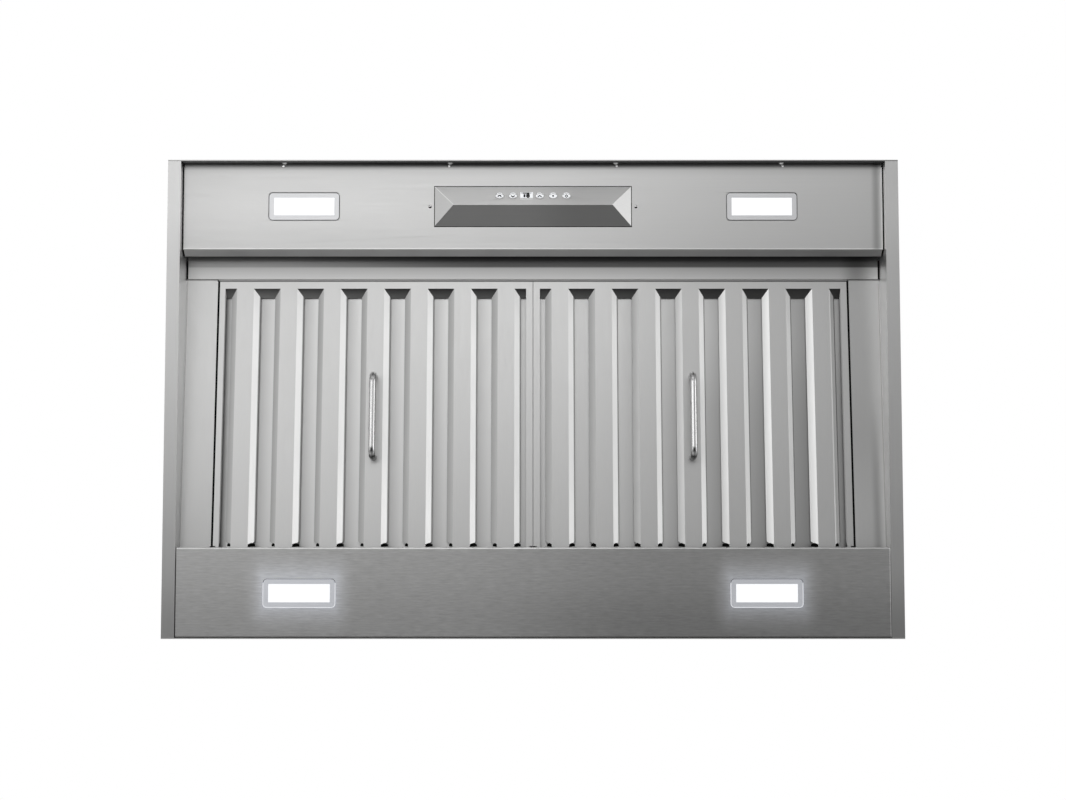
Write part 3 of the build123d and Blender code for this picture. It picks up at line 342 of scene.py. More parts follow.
def side_shade(tree):
    """The flange, the inner wall and the strip beside the filter, each with its own tone."""
    # Painted light and shade: darker to the rear and the right, brighter inner walls, a dark
    # line and a dark painted reflection on the strip
    out = tree.math("ABSOLUTE", tree.place("X"))
    inside = tree.spread(out, 1.0, 0.0, 0.4128, 0.4132)
    strip = tree.product(
        tree.halves("X", 1.02, tree.ramp("Y", 0.85, 1.1, 0.03, 0.16)),
        tree.spread(out, 1.0, 0.6, 0.4121, 0.4124),
        tree.band("X", 0.4035, 0.008, tree.ramp("Y", 1.0, 0.72, -0.02, 0.12)),
    )
    inner_wall_highlight = tree.halves("X", 1.45, 1.65)
    return tree.product(
        rear_painted_shade(tree),
        tree.ramp("Y", 0.97, 0.87, -0.23, -0.15),
        tree.ramp("Y", 1.0, 1.07, 0.0, 0.12),
        tree.ramp("Y", 1.0, tree.halves("X", 0.80, 0.72), 0.19, 0.275),
        tree.halves("X", 1.0, 0.95),
        tree.spread(inside, 1.0, strip),
        tree.spread(tree.math("ABSOLUTE", tree.facing("X")), 1.0, inner_wall_highlight, 0.5, 0.7),
    )


def pod_shade(tree):
    """Painted shade on the half that looks to the rear; painted thin highlights on hips and
    ridge.
    """
    from_ridge = tree.away(tree.place("Y"), POD_Y * MM)
    from_middle = tree.math("ABSOLUTE", tree.place("X"))
    from_end = tree.math("SUBTRACT", POD_LENGTH / 2 * MM, from_middle)
    to_hip = tree.math("MULTIPLY_ADD", from_end, POD_WIDTH / 2 / POD_HIP_RUN, from_ridge)
    hip = tree.away(to_hip, POD_WIDTH / 2 * MM)
    hip_painted_light = tree.step("Y", POD_Y * MM, tree.halves("X", 1.55, 1.15), 0.45)
    # The end faces are painted darker on the left and lighter on the right, the right part
    # darker
    end_face = tree.spread(tree.math("ABSOLUTE", tree.facing("X")), 0.0, 1.0, 0.2, 0.4)
    return tree.product(
        tree.spread(tree.facing("Y"), 1.0, 0.60, 0.0, 0.25),
        tree.ramp("X", 1.0, 0.80, -0.02, 0.06),
        tree.spread(end_face, 1.0, tree.halves("X", 0.84, 1.32)),
        tree.spread(end_face, tree.spread(from_ridge, 1.25, 1.0, 0.0003, 0.0007), 1.0),
        tree.spread(hip, hip_painted_light, 1.0, 0.0003, 0.0008),
    )


def filter_depth(tree):
    """How far a place lies behind the filters' visible face."""
    rise = tree.math("SUBTRACT", tree.place("Z"), FILTER_FRONT_Z * MM)
    back = tree.math("SUBTRACT", tree.place("Y"), FILTER_FRONT_Y * MM)
    upright = tree.math("MULTIPLY", rise, math.cos(FILTER_SLOPE))
    return tree.math("MULTIPLY_ADD", back, math.sin(FILTER_SLOPE), upright)


def from_filter_middle(tree):
    """How far to the right of its own filter's middle a place lies."""
    middle = tree.math("MULTIPLY", tree.math("SIGN", tree.place("X")), FILTER_X * MM)
    return tree.math("SUBTRACT", tree.place("X"), middle)


def baffle_shade(tree):
    """Ridges, and the pocket walls that face right, left and to the rear."""
    # Painted light and shade: walls facing right, left and to the rear each painted to their
    # own brightness, varying across the filters, and a painted dark line along the front edge
    depth = filter_depth(tree)
    last_wall_shade = tree.spread(depth, 1.0, 0.55, 0.001, 0.0025)
    right_wall_light = tree.product(
        tree.ramp("Y", 0.90, 1.0, -0.14, -0.07),
        tree.ramp("Y", 1.0, 1.14, 0.05, 0.18),
        tree.ramp("X", 1.165, tree.ramp("X", 1.04, 0.79, 0.19, 0.30), -0.09, -0.01),
        tree.spread(depth, 1.0, 0.30, 0.0072, 0.0078),
        tree.step("X", -0.36, 0.35, 1.0, POCKET_SOFT),
        tree.band("X", 0.0075, 0.012, 0.5),
        tree.step("X", 0.345, 1.0, last_wall_shade, POCKET_SOFT),
    )
    left_wall_light = tree.product(
        tree.spread(depth, 1.15, 0.85, 0.0, POCKET_DEPTH),
        tree.ramp("X", 0.56, 1.08, 0.08, 0.28),
        tree.step("X", 0.358, 1.0, 0.38, POCKET_SOFT),
    )
    end_wall_shade = tree.product(
        tree.ramp("X", 0.28, 0.17, -0.35, -0.1),
        tree.spread(depth, 0.6, tree.ramp("X", 2.3, 1.1, 0.0, 0.25), 0.0, POCKET_DEPTH),
    )
    value = tree.ramp("X", 0.90, 0.80, 0.02, 0.22)
    value = tree.spread(tree.facing("X"), value, right_wall_light, 0.3, 0.5)
    value = tree.spread(tree.facing("X"), left_wall_light, value, -0.5, -0.3)
    value = tree.spread(tree.facing("Y"), value, end_wall_shade, 0.3, 0.5)
    return tree.product(value, tree.step("Y", -0.1413, 0.42, 1.0, SEAM_SOFT))


def channel_shade(tree):
    """Pocket bottoms: painted brighter to the right in the left filter, darker in the right
    one.
    """
    # 0 and 1 on the middle of a ridge, 0.5 in the middle of a pocket
    ridges = tree.math("DIVIDE", from_filter_middle(tree), RIDGE_PITCH * MM)
    phase = tree.math("FRACT", ridges)
    left_part = tree.ramp("X", 0.80, 1.1, -0.1, 0.15)
    right_part = tree.ramp("X", 1.12, 0.92, -0.1, 0.2)
    first_pocket_shade = tree.spread(tree.place("X"), 0.5, 0.72, -0.3695, -0.3615)
    return tree.product(
        tree.spread(phase, left_part, right_part, 0.34, 0.62),
        tree.ramp("X", 0.87, 0.56, 0.06, 0.28),
        tree.step("X", -0.3608, first_pocket_shade, 1.0, 0.0006),
        tree.ramp("X", 0.92, 1.0, -0.33, -0.22),
        tree.ramp("X", 1.0, tree.ramp("Y", 1.24, 1.06, -0.09, 0.03), 0.12, 0.22),
        tree.ramp("X", 1.0, 0.91, 0.27, 0.30),
    )


def screw_shade(tree):
    """The heads beside the pod are bright towards the front and dark towards the rear."""
    # Painted highlight and shade on the heads beside the pod, and a painted highlight on the
    # front wall's screws
    head_light_and_shade = tree.spread(tree.facing("Y"), 1.25, 0.06, -0.1, 0.35)
    beside_pod = tree.step("Z", 0.03, tree.step("Y", -0.2, head_light_and_shade, 1.0), 1.0)
    return tree.step("Y", -0.268, 1.2, beside_pod)


def handle_shade(tree):
    """Painted: two light lines along each handle, a dark spot near its rear end, a darker rear
    foot.
    """
    across = from_filter_middle(tree)
    tones = []
    for place, reach, value in (
        (-0.0016, 0.0012, 1.7), (0.0021, 0.001, 1.7), (0.0003, 0.0008, 0.7)
    ):
        tones.append(tree.spread(tree.away(across, place), value, 1.0, 0.0, reach, smooth=True))
    shadow_spot_across = tree.spread(tree.math("ABSOLUTE", across), 0.2, 1.0, 0.001, 0.0024)
    tones.append(tree.math("MAXIMUM", tree.band("Y", 0.0612, 0.0042, 0.0), shadow_spot_across))
    tones.append(tree.step("Y", 0.0672, 1.0, 0.35, 0.0012))
    return tree.product(*tones)


def wall_lean(tree, normal):
    """The pocket walls pick up their shine from below and left, as their polished bends do."""
    walls = tree.spread(tree.math("ABSOLUTE", tree.facing("X")), 0.0, 1.0, 0.3, 0.5)
    aim = tree.nodes.new("ShaderNodeCombineXYZ")
    sideways = tree.math("MULTIPLY_ADD", tree.place("X"), -0.47, -0.033)
    for socket, value in zip(aim.inputs, (sideways, -0.16, -1.0)):
        tree.set(socket, value)
    turn = tree.nodes.new("ShaderNodeVectorTransform")
    turn.vector_type = "NORMAL"
    turn.convert_from, turn.convert_to = "OBJECT", "WORLD"
    tree.links.new(aim.outputs[0], turn.inputs[0])
    return tree.mix("VECTOR", walls, normal, turn.outputs[0])


def lamp_glow(tree):
    """Painted lamp glow: 1 beside a rear lamp, falling to 0 a little way off."""
    out = []
    for from_lamp, half in (
        (tree.away(tree.math("ABSOLUTE", tree.place("X")), LAMP_X * MM), GLOW_HALF[0]),
        (tree.away(tree.place("Y"), REAR_LAMP_Y * MM), GLOW_HALF[1]),
    ):
        out.append(tree.math("MAXIMUM", tree.math("SUBTRACT", from_lamp, half), 0.0))
    out_x, out_y = out[0], tree.math("MULTIPLY", out[1], 0.7)
    squares = tree.math("MULTIPLY_ADD", out_x, out_x, tree.math("MULTIPLY", out_y, out_y))
    nearness = tree.spread(tree.math("SQRT", squares), 1.0, 0.0, 0.0, GLOW_REACH)
    return tree.math("POWER", nearness, 2.0)


def bezel_shade(tree):
    """Painted shade: darker on the walls round the lens, and lighter on the rear bezels."""
    walls = tree.spread(tree.math("ABSOLUTE", tree.facing("Z")), 0.6, 1.0, 0.5, 0.7)
    return tree.product(walls, tree.halves("Y", 0.96, 1.18))


def bezel_glow(tree):
    """Light that the rear lenses throw on the metal round them."""
    return tree.halves("Y", 0.0, 0.12)


def rear_bluish_light(tree):
    """Painted bluish lamp light: bluer beside the rear lamps."""
    return tree.halves("Y", 0.0, 1.0)


def light_panel_shade(tree):
    """Painted: glow round the lamps, darker to the right and rear; one dark and two light
    edges.
    """
    return tree.product(
        rear_painted_shade(tree),
        tree.spread(lamp_glow(tree), 0.92, tree.halves("X", 1.54, 1.83)),
        tree.ramp("X", 1.12, 0.84, -0.10, 0.18),
        tree.ramp("Y", 1.0, tree.halves("X", 0.90, 0.80), 0.20, 0.27),
        tree.step("X", -0.4121, 0.12, 1.0, 0.0001),
        tree.step("X", 0.4119, 1.0, 1.9, 0.0001),
        tree.step("Y", 0.1757, 1.6, 1.0, 0.0001),
    )


steel("front_steel", STEEL, "X", shade=front_wall_shade)
steel("rear_steel", STEEL, "X", shade=rear_painted_shade)
steel("side_steel", STEEL, "Y", contrast=0.02, shade=side_shade)
steel("panel_steel", STEEL, "X", contrast=0.02, shade=panel_shade)
steel("ledge_steel", STEEL, "X", shade=ledge_shade)
steel(
    "light_panel_steel", STEEL, "short", contrast=0.13, shade=light_panel_shade, lamp_tint=lamp_glow
)
steel("pod_steel", STEEL, "X", contrast=0.03, shade=pod_shade)
steel("button_steel", (0.66, 0.66, 0.66), "X", 0.3)
steel("baffle_steel", STEEL, "Y", contrast=0.02, shade=baffle_shade, lean=wall_lean)
steel("channel_steel", STEEL, "Y", contrast=0.02, shade=channel_shade)
steel("handle_steel", (0.66, 0.66, 0.66), "Y", 0.26, 0.02, shade=handle_shade)
steel("screw_steel", (0.8, 0.8, 0.8), "X", 0.22, 0.02, shade=screw_shade)
steel(
    "bezel_steel", (0.81, 0.816, 0.83), "X", contrast=0.01,
    shade=bezel_shade, lamp_tint=rear_bluish_light, glow=bezel_glow,
)

# ------------------------------------------------------------------ other finishes


def zinc():
    """Galvanised sheet with its large flat crystals."""
    tree = Tree("zinc_sheet")
    cells = tree.nodes.new("ShaderNodeTexVoronoi")
    cells.inputs["Scale"].default_value = 55.0
    tree.links.new(tree.coordinates["Object"], cells.inputs["Vector"])
    grey = tree.nodes.new("ShaderNodeSeparateColor")
    tree.links.new(cells.outputs["Color"], grey.inputs[0])
    stain = tree.even_noise(9.0, 4.0)
    value = tree.product(
        tree.spread(grey.outputs[0], 0.86, 1.08), tree.grain_spread(stain, 0.93, 1.05)
    )
    roughness = tree.spread(grey.outputs[1], 0.36, 0.5)
    normal = tree.bump(stain, 0.05, 0.0005)
    tree.shader(tree.tint((0.60, 0.62, 0.63), value), roughness, 1.0, normal)


def moulded(name, colour, rough, scale=900.0, **sockets):
    """Moulded or sprayed surface with a fine grain."""
    tree = Tree(name)
    grain = tree.even_noise(scale, 2.0)
    stain = tree.even_noise(14.0, 3.0)
    tree.shader(
        tree.tint(colour, tree.grain_spread(stain, 0.94, 1.06)),
        tree.grain_spread(grain, rough - 0.06, rough + 0.06),
        normal=tree.bump(grain, 0.2, 0.0001),
        **sockets,
    )


def lit(name, colour, strength, rough=0.3):
    """A lit diffuser that is a little brighter over its light sources."""
    tree = Tree(name)
    grain = tree.even_noise(700.0, 2.0)
    pool = tree.even_noise(40.0, 1.0)
    glowing = tree.tint(colour, tree.grain_spread(pool, 0.985, 1.0))
    tree.shader(
        glowing,
        tree.spread(grain, rough - 0.05, rough + 0.05),
        normal=tree.bump(grain, 0.05, 0.0001),
        Emission_Color=glowing,
        Emission_Strength=strength,
    )


zinc()
moulded("wheel_plastic", (0.03, 0.03, 0.033), 0.45)
moulded("motor_enamel", (0.05, 0.05, 0.055), 0.4, 500.0)
moulded("capacitor_plastic", (0.75, 0.75, 0.72), 0.4)
moulded("bushing_rubber", (0.02, 0.02, 0.02), 0.7)
moulded("board_green", (0.02, 0.12, 0.05), 0.45, 400.0)
moulded("gap_shadow", (0.006, 0.006, 0.006), 0.8, Specular_IOR_Level=0.0)
moulded("icon_ink", (0.012, 0.012, 0.013), 0.6, Specular_IOR_Level=0.1)
lit("lamp_lens", (0.72, 0.73, 0.74), 0.9)
lit("display_white", (0.86, 0.88, 0.90), 0.56)

# ------------------------------------------------------------------ CAD nodes

# Width of the softened edges of each finish, in millimetres. Large sheets stay as they are.
EDGED = {
    "panel_steel": 0.3,
    "ledge_steel": 0.3,
    "pod_steel": 0.35,
    "bezel_steel": 0.25,
    "button_steel": 0.3,
}
slot_of = {entry["node"]: entry["material_slot"] for entry in record["subparts"]}
for name, node in nodes.items():
    slot = slot_of[name]
    node.data.materials.clear()
    node.data.materials.append(materials[slot])
    for polygon in node.data.polygons:
        polygon.material_index = 0
    if slot in EDGED:
        weld = node.modifiers.new("weld", "WELD")
        weld.merge_threshold = 0.00001
        bevel = node.modifiers.new("soft_edges", "BEVEL")
        bevel.width = EDGED[slot] * MM
        bevel.segments = 2
        bevel.limit_method = "ANGLE"
        bevel.angle_limit = math.radians(35)
        bevel.harden_normals = True

# ------------------------------------------------------------------ making pieces


def add_piece(name, mesh, slot, body):
    """Make a piece of a bmesh, with its slot's finish and the body that it rides on."""
    bmesh.ops.recalc_face_normals(mesh, faces=mesh.faces)
    data = bpy.data.meshes.new(name)
    mesh.to_mesh(data)
    mesh.free()
    data.materials.append(materials[slot])
    piece = add_object(name, data)
    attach(piece, body)


def quads(first, second):
    """The four-sided figures between two closed loops of points or vertices."""
    turns = [loop[1:] + loop[:1] for loop in (first, second)]
    return [list(corners) for corners in zip(first, turns[0], turns[1], second)]


def skirt(mesh, low, high):
    """Faces between two loops of vertices."""
    for corners in quads(low, high):
        mesh.faces.new(corners)


def prism(mesh, low, high):
    """A closed solid between two loops of vertices."""
    mesh.faces.new(low)
    mesh.faces.new(high)
    skirt(mesh, low, high)


def arc(cx, cy, radius, start, end, steps=20):
    """Points on an arc in millimetres, angles in degrees."""
    angles = [math.radians(start + (end - start) * i / steps) for i in range(steps + 1)]
    return [(cx + radius * math.cos(a), cy + radius * math.sin(a)) for a in angles]


def moved(points, x):
    """The same points, moved along X."""
    return [(x + px, py) for px, py in points]


# ------------------------------------------------------------------ printed icons and digits

SLOPE = math.atan2(POD_HEIGHT, POD_WIDTH / 2)
FACE_OUT = Vector((0, -math.sin(SLOPE), -math.cos(SLOPE)))
FACE_UP = Vector((0, -math.cos(SLOPE), math.sin(SLOPE)))
FACE_CENTRE = Vector((0, POD_Y - POD_WIDTH / 4, PANEL_Z - POD_HEIGHT / 2))


def on_face(x, y, lift):
    """A point on the button face: x to the right, y up the picture, lift out of it."""
    return (FACE_CENTRE + Vector((x, 0, 0)) + FACE_UP * y + FACE_OUT * lift) * MM


def stroke(mesh, points, width, lift, thick, closed=False):
    """A printed line of an even width along points on the button face."""
    last = len(points) - 1
    rims = []
    for i, (x, y) in enumerate(points):
        before = points[i - 1] if closed or i > 0 else points[i]
        after = points[(i + 1) % len(points)] if closed or i < last else points[i]
        along = Vector((after[0] - before[0], after[1] - before[1])).normalized()
        side = Vector((-along.y, along.x)) * width / 2
        rims.append(
            [
                mesh.verts.new(on_face(x + sign * side.x, y + sign * side.y, lift + height))
                for sign, height in ((1, 0), (1, thick), (-1, thick), (-1, 0))
            ]
        )
    for low, high in zip(rims, rims[1:]):
        skirt(mesh, low, high)
    if closed:
        skirt(mesh, rims[-1], rims[0])
    else:
        mesh.faces.new(rims[0])
        mesh.faces.new(list(reversed(rims[-1])))


# Each button's place in pitches from the pod's middle, its symbol's line, and if that closes
BUTTONS = {
    "power": (-2.5, arc(0, -1.6, 1.6, -10, 190), False),
    "slower": (-1.5, [(-2.1, -0.2), (0, -2.3), (2.1, -0.2)], False),
    "faster": (0.5, [(-2.1, -2.1), (0, 0.1), (2.1, -2.1)], False),
    "light": (1.5, arc(0, -0.6, 0.6, 0, 342, 19), True),
    "timer": (2.5, [(0, 0.9), (-1.8, -0.9), (0, -2.7), (1.8, -0.9)], True),
}
# Painted highlights made to glow: a lit crescent on each dome button, and a thin highlight
# along its upper rim
LIT_CRESCENT = arc(0, -3.9, 5.9, 33, 147) + arc(0, 2.475, 5.875, 213, 327)
RIM_HIGHLIGHT = arc(0, -0.6, 4.4, 48, 132)
GLOW_THICK, INK_THICK, DIGIT_THICK, TRIM_THICK = 0.03, 0.06, 0.15, 0.08
for key, (pitches, symbol, closed) in BUTTONS.items():
    x = pitches * BUTTON_PITCH
    mesh = bmesh.new()
    low, high = (
        [mesh.verts.new(on_face(px, py, BUTTON_FACE + lift)) for px, py in moved(LIT_CRESCENT, x)]
        for lift in (0.0, GLOW_THICK)
    )
    prism(mesh, low, high)
    stroke(mesh, moved(RIM_HIGHLIGHT, x), 0.8, BUTTON_FACE, GLOW_THICK)
    add_piece(f"{key}_glow", mesh, "display_white", f"{key}_key")
    mesh = bmesh.new()
    width = 1.35 if closed else 1.7
    stroke(mesh, moved(symbol, x), width, BUTTON_FACE, INK_THICK, closed)
    add_piece(f"{key}_icon", mesh, "icon_ink", f"{key}_key")

# Two seven-segment digits on the display. Each digit: its segments, its place and its line
DIGITS = (("bc", -3.4, 2.3), ("abcdefg", 2.0, 1.75))
DIGIT_HALF_WIDTH, DIGIT_HALF_HEIGHT, SEGMENT_REACH = 1.35, 2.3, 0.94
SEGMENT_ENDS = {
    "a": ((-1, 1), (1, 1)),
    "b": ((1, 1), (1, 0)),
    "c": ((1, 0), (1, -1)),
    "d": ((-1, -1), (1, -1)),
    "e": ((-1, -1), (-1, 0)),
    "f": ((-1, 0), (-1, 1)),
    "g": ((-1, 0), (1, 0)),
}
mesh = bmesh.new()
for segments, place, width in DIGITS:
    for segment in segments:
        points = [
            (x * SEGMENT_REACH * DIGIT_HALF_WIDTH, y * SEGMENT_REACH * DIGIT_HALF_HEIGHT)
            for x, y in SEGMENT_ENDS[segment]
        ]
        stroke(mesh, moved(points, DISPLAY_X + place), width, 0.0, DIGIT_THICK)
# Two dark bars along the display window's top edge: painted shadow, in the ink's finish
for reach, width in ((6.2, 0.7), (3.7, 1.5)):
    stroke(mesh, moved([(-reach, 3.75), (reach, 3.75)], DISPLAY_X), width, 0.0, DIGIT_THICK)
add_piece("display_digits", mesh, "icon_ink", "hood")

# A thin frame strip along the display's lower and left edges
mesh = bmesh.new()
for points in ([(-7.0, -3.95), (8.3, -3.95)], [(-7.85, -4.75), (-7.85, 4.6)]):
    stroke(mesh, moved(points, DISPLAY_X), 1.6, 0.0, TRIM_THICK)
add_piece("display_trim", mesh, "pod_steel", "hood")

# ------------------------------------------------------------------ trim, painted shadows and highlights


def prisms(name, outlines, rise, slot, body):
    """Flat solids of an even thickness: each outline, raised by a height."""
    mesh = bmesh.new()
    lift = Vector((0, 0, rise))
    for outline in outlines:
        low = [mesh.verts.new(Vector(point) * MM) for point in outline]
        high = [mesh.verts.new((Vector(point) + lift) * MM) for point in outline]
        prism(mesh, low, high)
    add_piece(name, mesh, slot, body)


def slat(x0, x1, *profile):
    """Outlines between two places on X, along points (y, z)."""
    return [
        [(x0, y0, z0), (x1, y0, z0), (x1, y1, z1), (x0, y1, z1)]
        for (y0, z0), (y1, z1) in zip(profile, profile[1:])
    ]


def beside_filter(x0, x1, front_y, drop):
    """Outlines beside a filter, along the slope of its visible face and a little below it."""
    profile = [
        (y, FILTER_FRONT_Z - (y - FILTER_FRONT_Y) * math.tan(FILTER_SLOPE) - drop)
        for y in (front_y, 173.0)
    ]
    return slat(x0, x1, *profile)


# For each side: where the gap beside the control panel starts, and the gap beside the filter
for side, tag, gap_start, filter_edge, filter_wall in (
    (-1, "left", 412.0, 373.8, 376.2),
    (1, "right", 412.2, 374.4, 376.8),
):
    panel_end = slat(side * 411.62, side * gap_start, (-273.0, 12.65), (-175.3, 12.65))
    prisms(f"{tag}_panel_end", panel_end, 0.3, "panel_steel", "hood")
    # Black strips in the gaps beside the control panel, under its lip and beside the ledge:
    # painted shadow in those gaps
    gap = slat(side * gap_start, side * 413.35, (-273.0, 12.7), (-174.8, 12.7))
    if side > 0:
        gap += slat(413.1, 413.45, (-273.0, 10.4), (-174.8, 10.4))
    gap += slat(side * 411.7, side * 413.3, (-174.7, 13.1), (-168.6, 22.0))
    gap += slat(side * 411.7, side * 413.3, (-166.0, 42.3), (-144.0, 42.3))
    prisms(f"{tag}_gap_shadow_strips", gap, 0.5, "gap_shadow", "hood")
    # A black strip in the gap beside the filter, riding on it: painted shadow
    filter_gap_shadow = beside_filter(side * filter_edge, side * filter_wall, -141.9, 0.08)
    prisms(f"{tag}_filter_shadow_strip", filter_gap_shadow, 0.08, "gap_shadow", f"{tag}_filter")
    stop = beside_filter(side * (filter_wall + 0.05), side * 377.4, -142.0, 0.05)
    prisms(f"{tag}_filter_stop", stop, 0.5, "side_steel", "hood")

# A strip in the ledge's finish across the gap to the filters; that finish paints its rear part
# dark, as painted shadow in the gap
seam = slat(-375.3, 375.3, (-143.95, 43.6), (-142.1, 43.6))
prisms("front_seam", seam, 0.4, "ledge_steel", "hood")

# A black frame round the pod's foot: painted shadow where the pod meets the panel
pod_outer, pod_inner = (
    [
        (sx * (POD_LENGTH / 2 + grow), POD_Y + sy * (POD_WIDTH / 2 + grow), PANEL_Z - 0.06)
        for sx, sy in ((-1, -1), (1, -1), (1, 1), (-1, 1))
    ]
    for grow in (0.8, -0.05)
)
prisms("pod_foot_shadow", quads(pod_outer, pod_inner), 0.06, "gap_shadow", "hood")


def lamp_ring(x, y, z, *grows):
    """Outlines that form a ring round a lamp's bezel, between two offsets from its edge.

    Each corner has 6 outlines and the side after it has one, from the rear right corner over
    the rear left and the front left to the front right one.
    """
    rims = []
    for grow in grows:
        radius = BEZEL_CORNER + grow
        rim = []
        for start, (sx, sy) in ((0, (1, 1)), (90, (-1, 1)), (180, (-1, -1)), (270, (1, -1))):
            corner_x = x + sx * (BEZEL_HALF[0] + grow - radius)
            corner_y = y + sy * (BEZEL_HALF[1] + grow - radius)
            corner = arc(corner_x, corner_y, radius, start, start + 90, 6)
            rim += [(px, py, z) for px, py in corner]
        rims.append(rim)
    return quads(*rims)


REAR_AND_LEFT, FRONT_LEFT_CORNER, FRONT_SIDE = slice(0, 14), slice(14, 20), slice(20, 21)
FRONT_RIGHT_CORNER, RIGHT_SIDE = slice(21, 27), slice(27, 28)
for side, tag in ((-1, "left"), (1, "right")):
    x = side * LAMP_X
    # A black ring in the groove round each front lamp: painted shadow
    ring = lamp_ring(x, FRONT_LAMP_Y, PANEL_Z - 0.05, -0.1, 0.42)
    prisms(f"front_{tag}_lamp_painted_outline", ring, 0.3, "gap_shadow", "hood")
    # Round each rear bezel, a ring in the lens's glowing finish: painted highlight. Its two
    # front corners and a thin front side are black: painted shadow
    ring = lamp_ring(x, REAR_LAMP_Y, 0.05, 0.1, 0.5)
    highlight_part = ring[REAR_AND_LEFT] + ring[RIGHT_SIDE]
    prisms(f"rear_{tag}_lamp_painted_outline", highlight_part, 0.3, "lamp_lens", "hood")
    thin_ring = lamp_ring(x, REAR_LAMP_Y, 0.05, 0.1, 0.35)
    shadow_part = ring[FRONT_LEFT_CORNER] + ring[FRONT_RIGHT_CORNER] + thin_ring[FRONT_SIDE]
    prisms(f"rear_{tag}_lamp_shadow_corners", shadow_part, 0.3, "gap_shadow", "hood")

# Small bright heads on the control panel's front bend, below the screws of the front wall:
# painted reflections of those screws in the panel
screw_reflections = [
    [(px, py, 12.25) for px, py in arc(x, -274.7, 1.3, 0, 330, 11)]
    for x in (-295.0, -98.8, 98.8, 295.0)
]
prisms("front_screw_reflections", screw_reflections, 0.4, "screw_steel", "hood")

# Black plates at the ends of the pocket walls, where the baffles run in behind the rear light
# panel: painted shade in the hollows there. The outline is across the wall's width and down
# the filter.
WALL_END = ((0.0, 316.4), (0.0, 314.0), (0.5, 312.3), (1.0, 314.0), (1.0, 316.4))
WALL_END_Z = FILTER_FRONT_Z + 0.2
for side, tag in ((-1, "left"), (1, "right")):
    ends = []
    for ridge in range(-3, 4):
        centre = side * FILTER_X + ridge * RIDGE_PITCH
        turned = min(max((centre + 100.0) / 350.0, 0.0), 1.0)  # 0 at the left, 1 at the right
        for start, width in ((10.1, 8.6 - 4.9 * turned), (-10.1, -3.7 - 4.9 * turned)):
            ends.append(
                [
                    (
                        centre + start + across * width,
                        FILTER_FRONT_Y + down * math.cos(FILTER_SLOPE),
                        WALL_END_Z - down * math.sin(FILTER_SLOPE),
                    )
                    for across, down in WALL_END
                ]
            )
    prisms(f"{tag}_wall_end_shadows", ends, 0.2, "gap_shadow", f"{tag}_filter")

# ------------------------------------------------------------------ studio

FLOOR_Z, FLOOR_HALF = -2.30, 30.0

floor_mesh = bmesh.new()
bmesh.ops.create_grid(floor_mesh, x_segments=8, y_segments=8, size=FLOOR_HALF)
floor_data = bpy.data.meshes.new("floor")
floor_mesh.to_mesh(floor_data)
floor_mesh.free()
floor = add_object("floor", floor_data)
floor.location = (0, 0, FLOOR_Z)
floor_tree = Tree("floor_paint")
floor_speckle = floor_tree.spread(floor_tree.even_noise(60.0, 3.0), 0.99, 1.01)
floor_tree.shader(floor_tree.tint((0.80, 0.80, 0.80), floor_speckle), 0.8)
floor_data.materials.append(materials["floor_paint"])

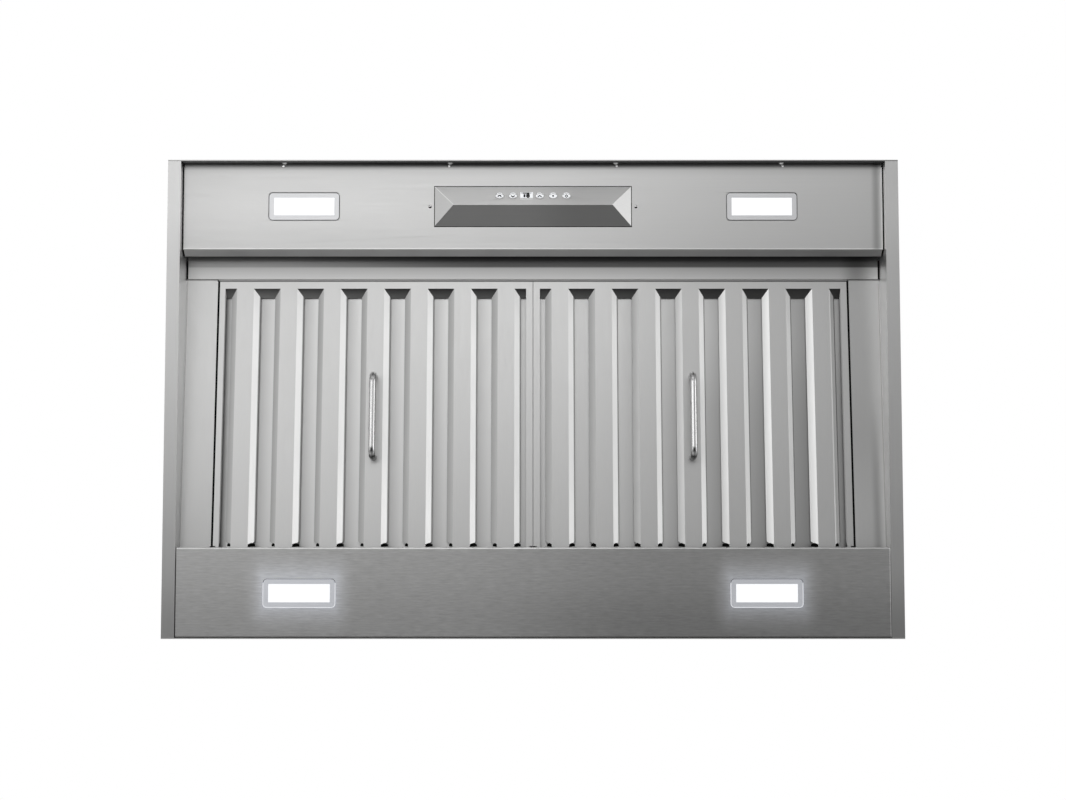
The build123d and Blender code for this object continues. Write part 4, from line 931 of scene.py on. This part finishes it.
# A white surround for what is seen directly or mirrored, and a dimmer one for diffuse light
AMBIENT_STRENGTH, SEEN_STRENGTH = 0.28, 1.0
world = bpy.data.worlds.new("world")
scene.world = world
world.use_nodes = True
world_nodes, world_links = world.node_tree.nodes, world.node_tree.links
world_nodes.clear()
path = world_nodes.new("ShaderNodeLightPath")
seen = path.outputs["Is Camera Ray"]
for ray in ("Is Glossy Ray", "Is Transmission Ray"):
    either = world_nodes.new("ShaderNodeMath")
    either.operation = "MAXIMUM"
    world_links.new(seen, either.inputs[0])
    world_links.new(path.outputs[ray], either.inputs[1])
    seen = either.outputs[0]
surround = world_nodes.new("ShaderNodeMixShader")
world_links.new(seen, surround.inputs["Fac"])
for index, strength in ((1, AMBIENT_STRENGTH), (2, SEEN_STRENGTH)):
    white = world_nodes.new("ShaderNodeBackground")
    white.inputs["Color"].default_value = (1, 1, 1, 1)
    white.inputs["Strength"].default_value = strength
    world_links.new(white.outputs[0], surround.inputs[index])
world_output = world_nodes.new("ShaderNodeOutputWorld")
world_links.new(surround.outputs[0], world_output.inputs["Surface"])


def softbox(name, place, target, width, height, radiance):
    """A soft rectangular studio lamp of an even radiance."""
    data = bpy.data.lights.new(name, "AREA")
    data.shape = "RECTANGLE"
    data.size, data.size_y = width, height
    data.energy = radiance * math.pi * width * height
    lamp = add_object(name, data)
    lamp.location = place
    lamp.rotation_mode = "QUATERNION"
    lamp.rotation_quaternion = (Vector(target) - Vector(place)).to_track_quat("-Z", "Y")
    lamp.visible_camera = False


# Lamps on the floor that look straight up
LOW = FLOOR_Z + 0.03
for name, x, y, width, depth, radiance in (
    ("under_left_softbox", -1.3, -0.7, 1.6, 0.6, 1.2),
    ("under_left_rear_softbox", -0.9, -0.1, 0.8, 0.6, 0.4),
    ("under_front_softbox", -0.1, -1.3, 0.8, 1.8, 1.1),
    ("under_right_softbox", 0.7, -0.7, 0.8, 0.6, 0.5),
):
    softbox(name, (x, y, LOW), (x, y, 0.0), width, depth, radiance)

# Lamps that stand upright beside the hood and in front of it, each with its target's Y
for name, place, target_y, width, height, radiance in (
    ("left_low_softbox", (-2.6, -0.25, -1.8), -0.25, 2.5, 0.8, 1.25),
    ("left_high_softbox", (-2.6, -0.25, -0.95), -0.25, 2.5, 0.9, 0.3),
    ("right_low_softbox", (2.6, -0.25, -1.8), -0.25, 2.5, 0.8, 0.7),
    ("right_high_softbox", (2.6, -0.25, -0.95), -0.25, 2.5, 0.9, 1.3),
    ("front_softbox", (0.0, -3.0, -1.8), 0.0, 3.0, 0.8, 1.25),
):
    softbox(name, place, (0.0, target_y, place[2]), width, height, radiance)
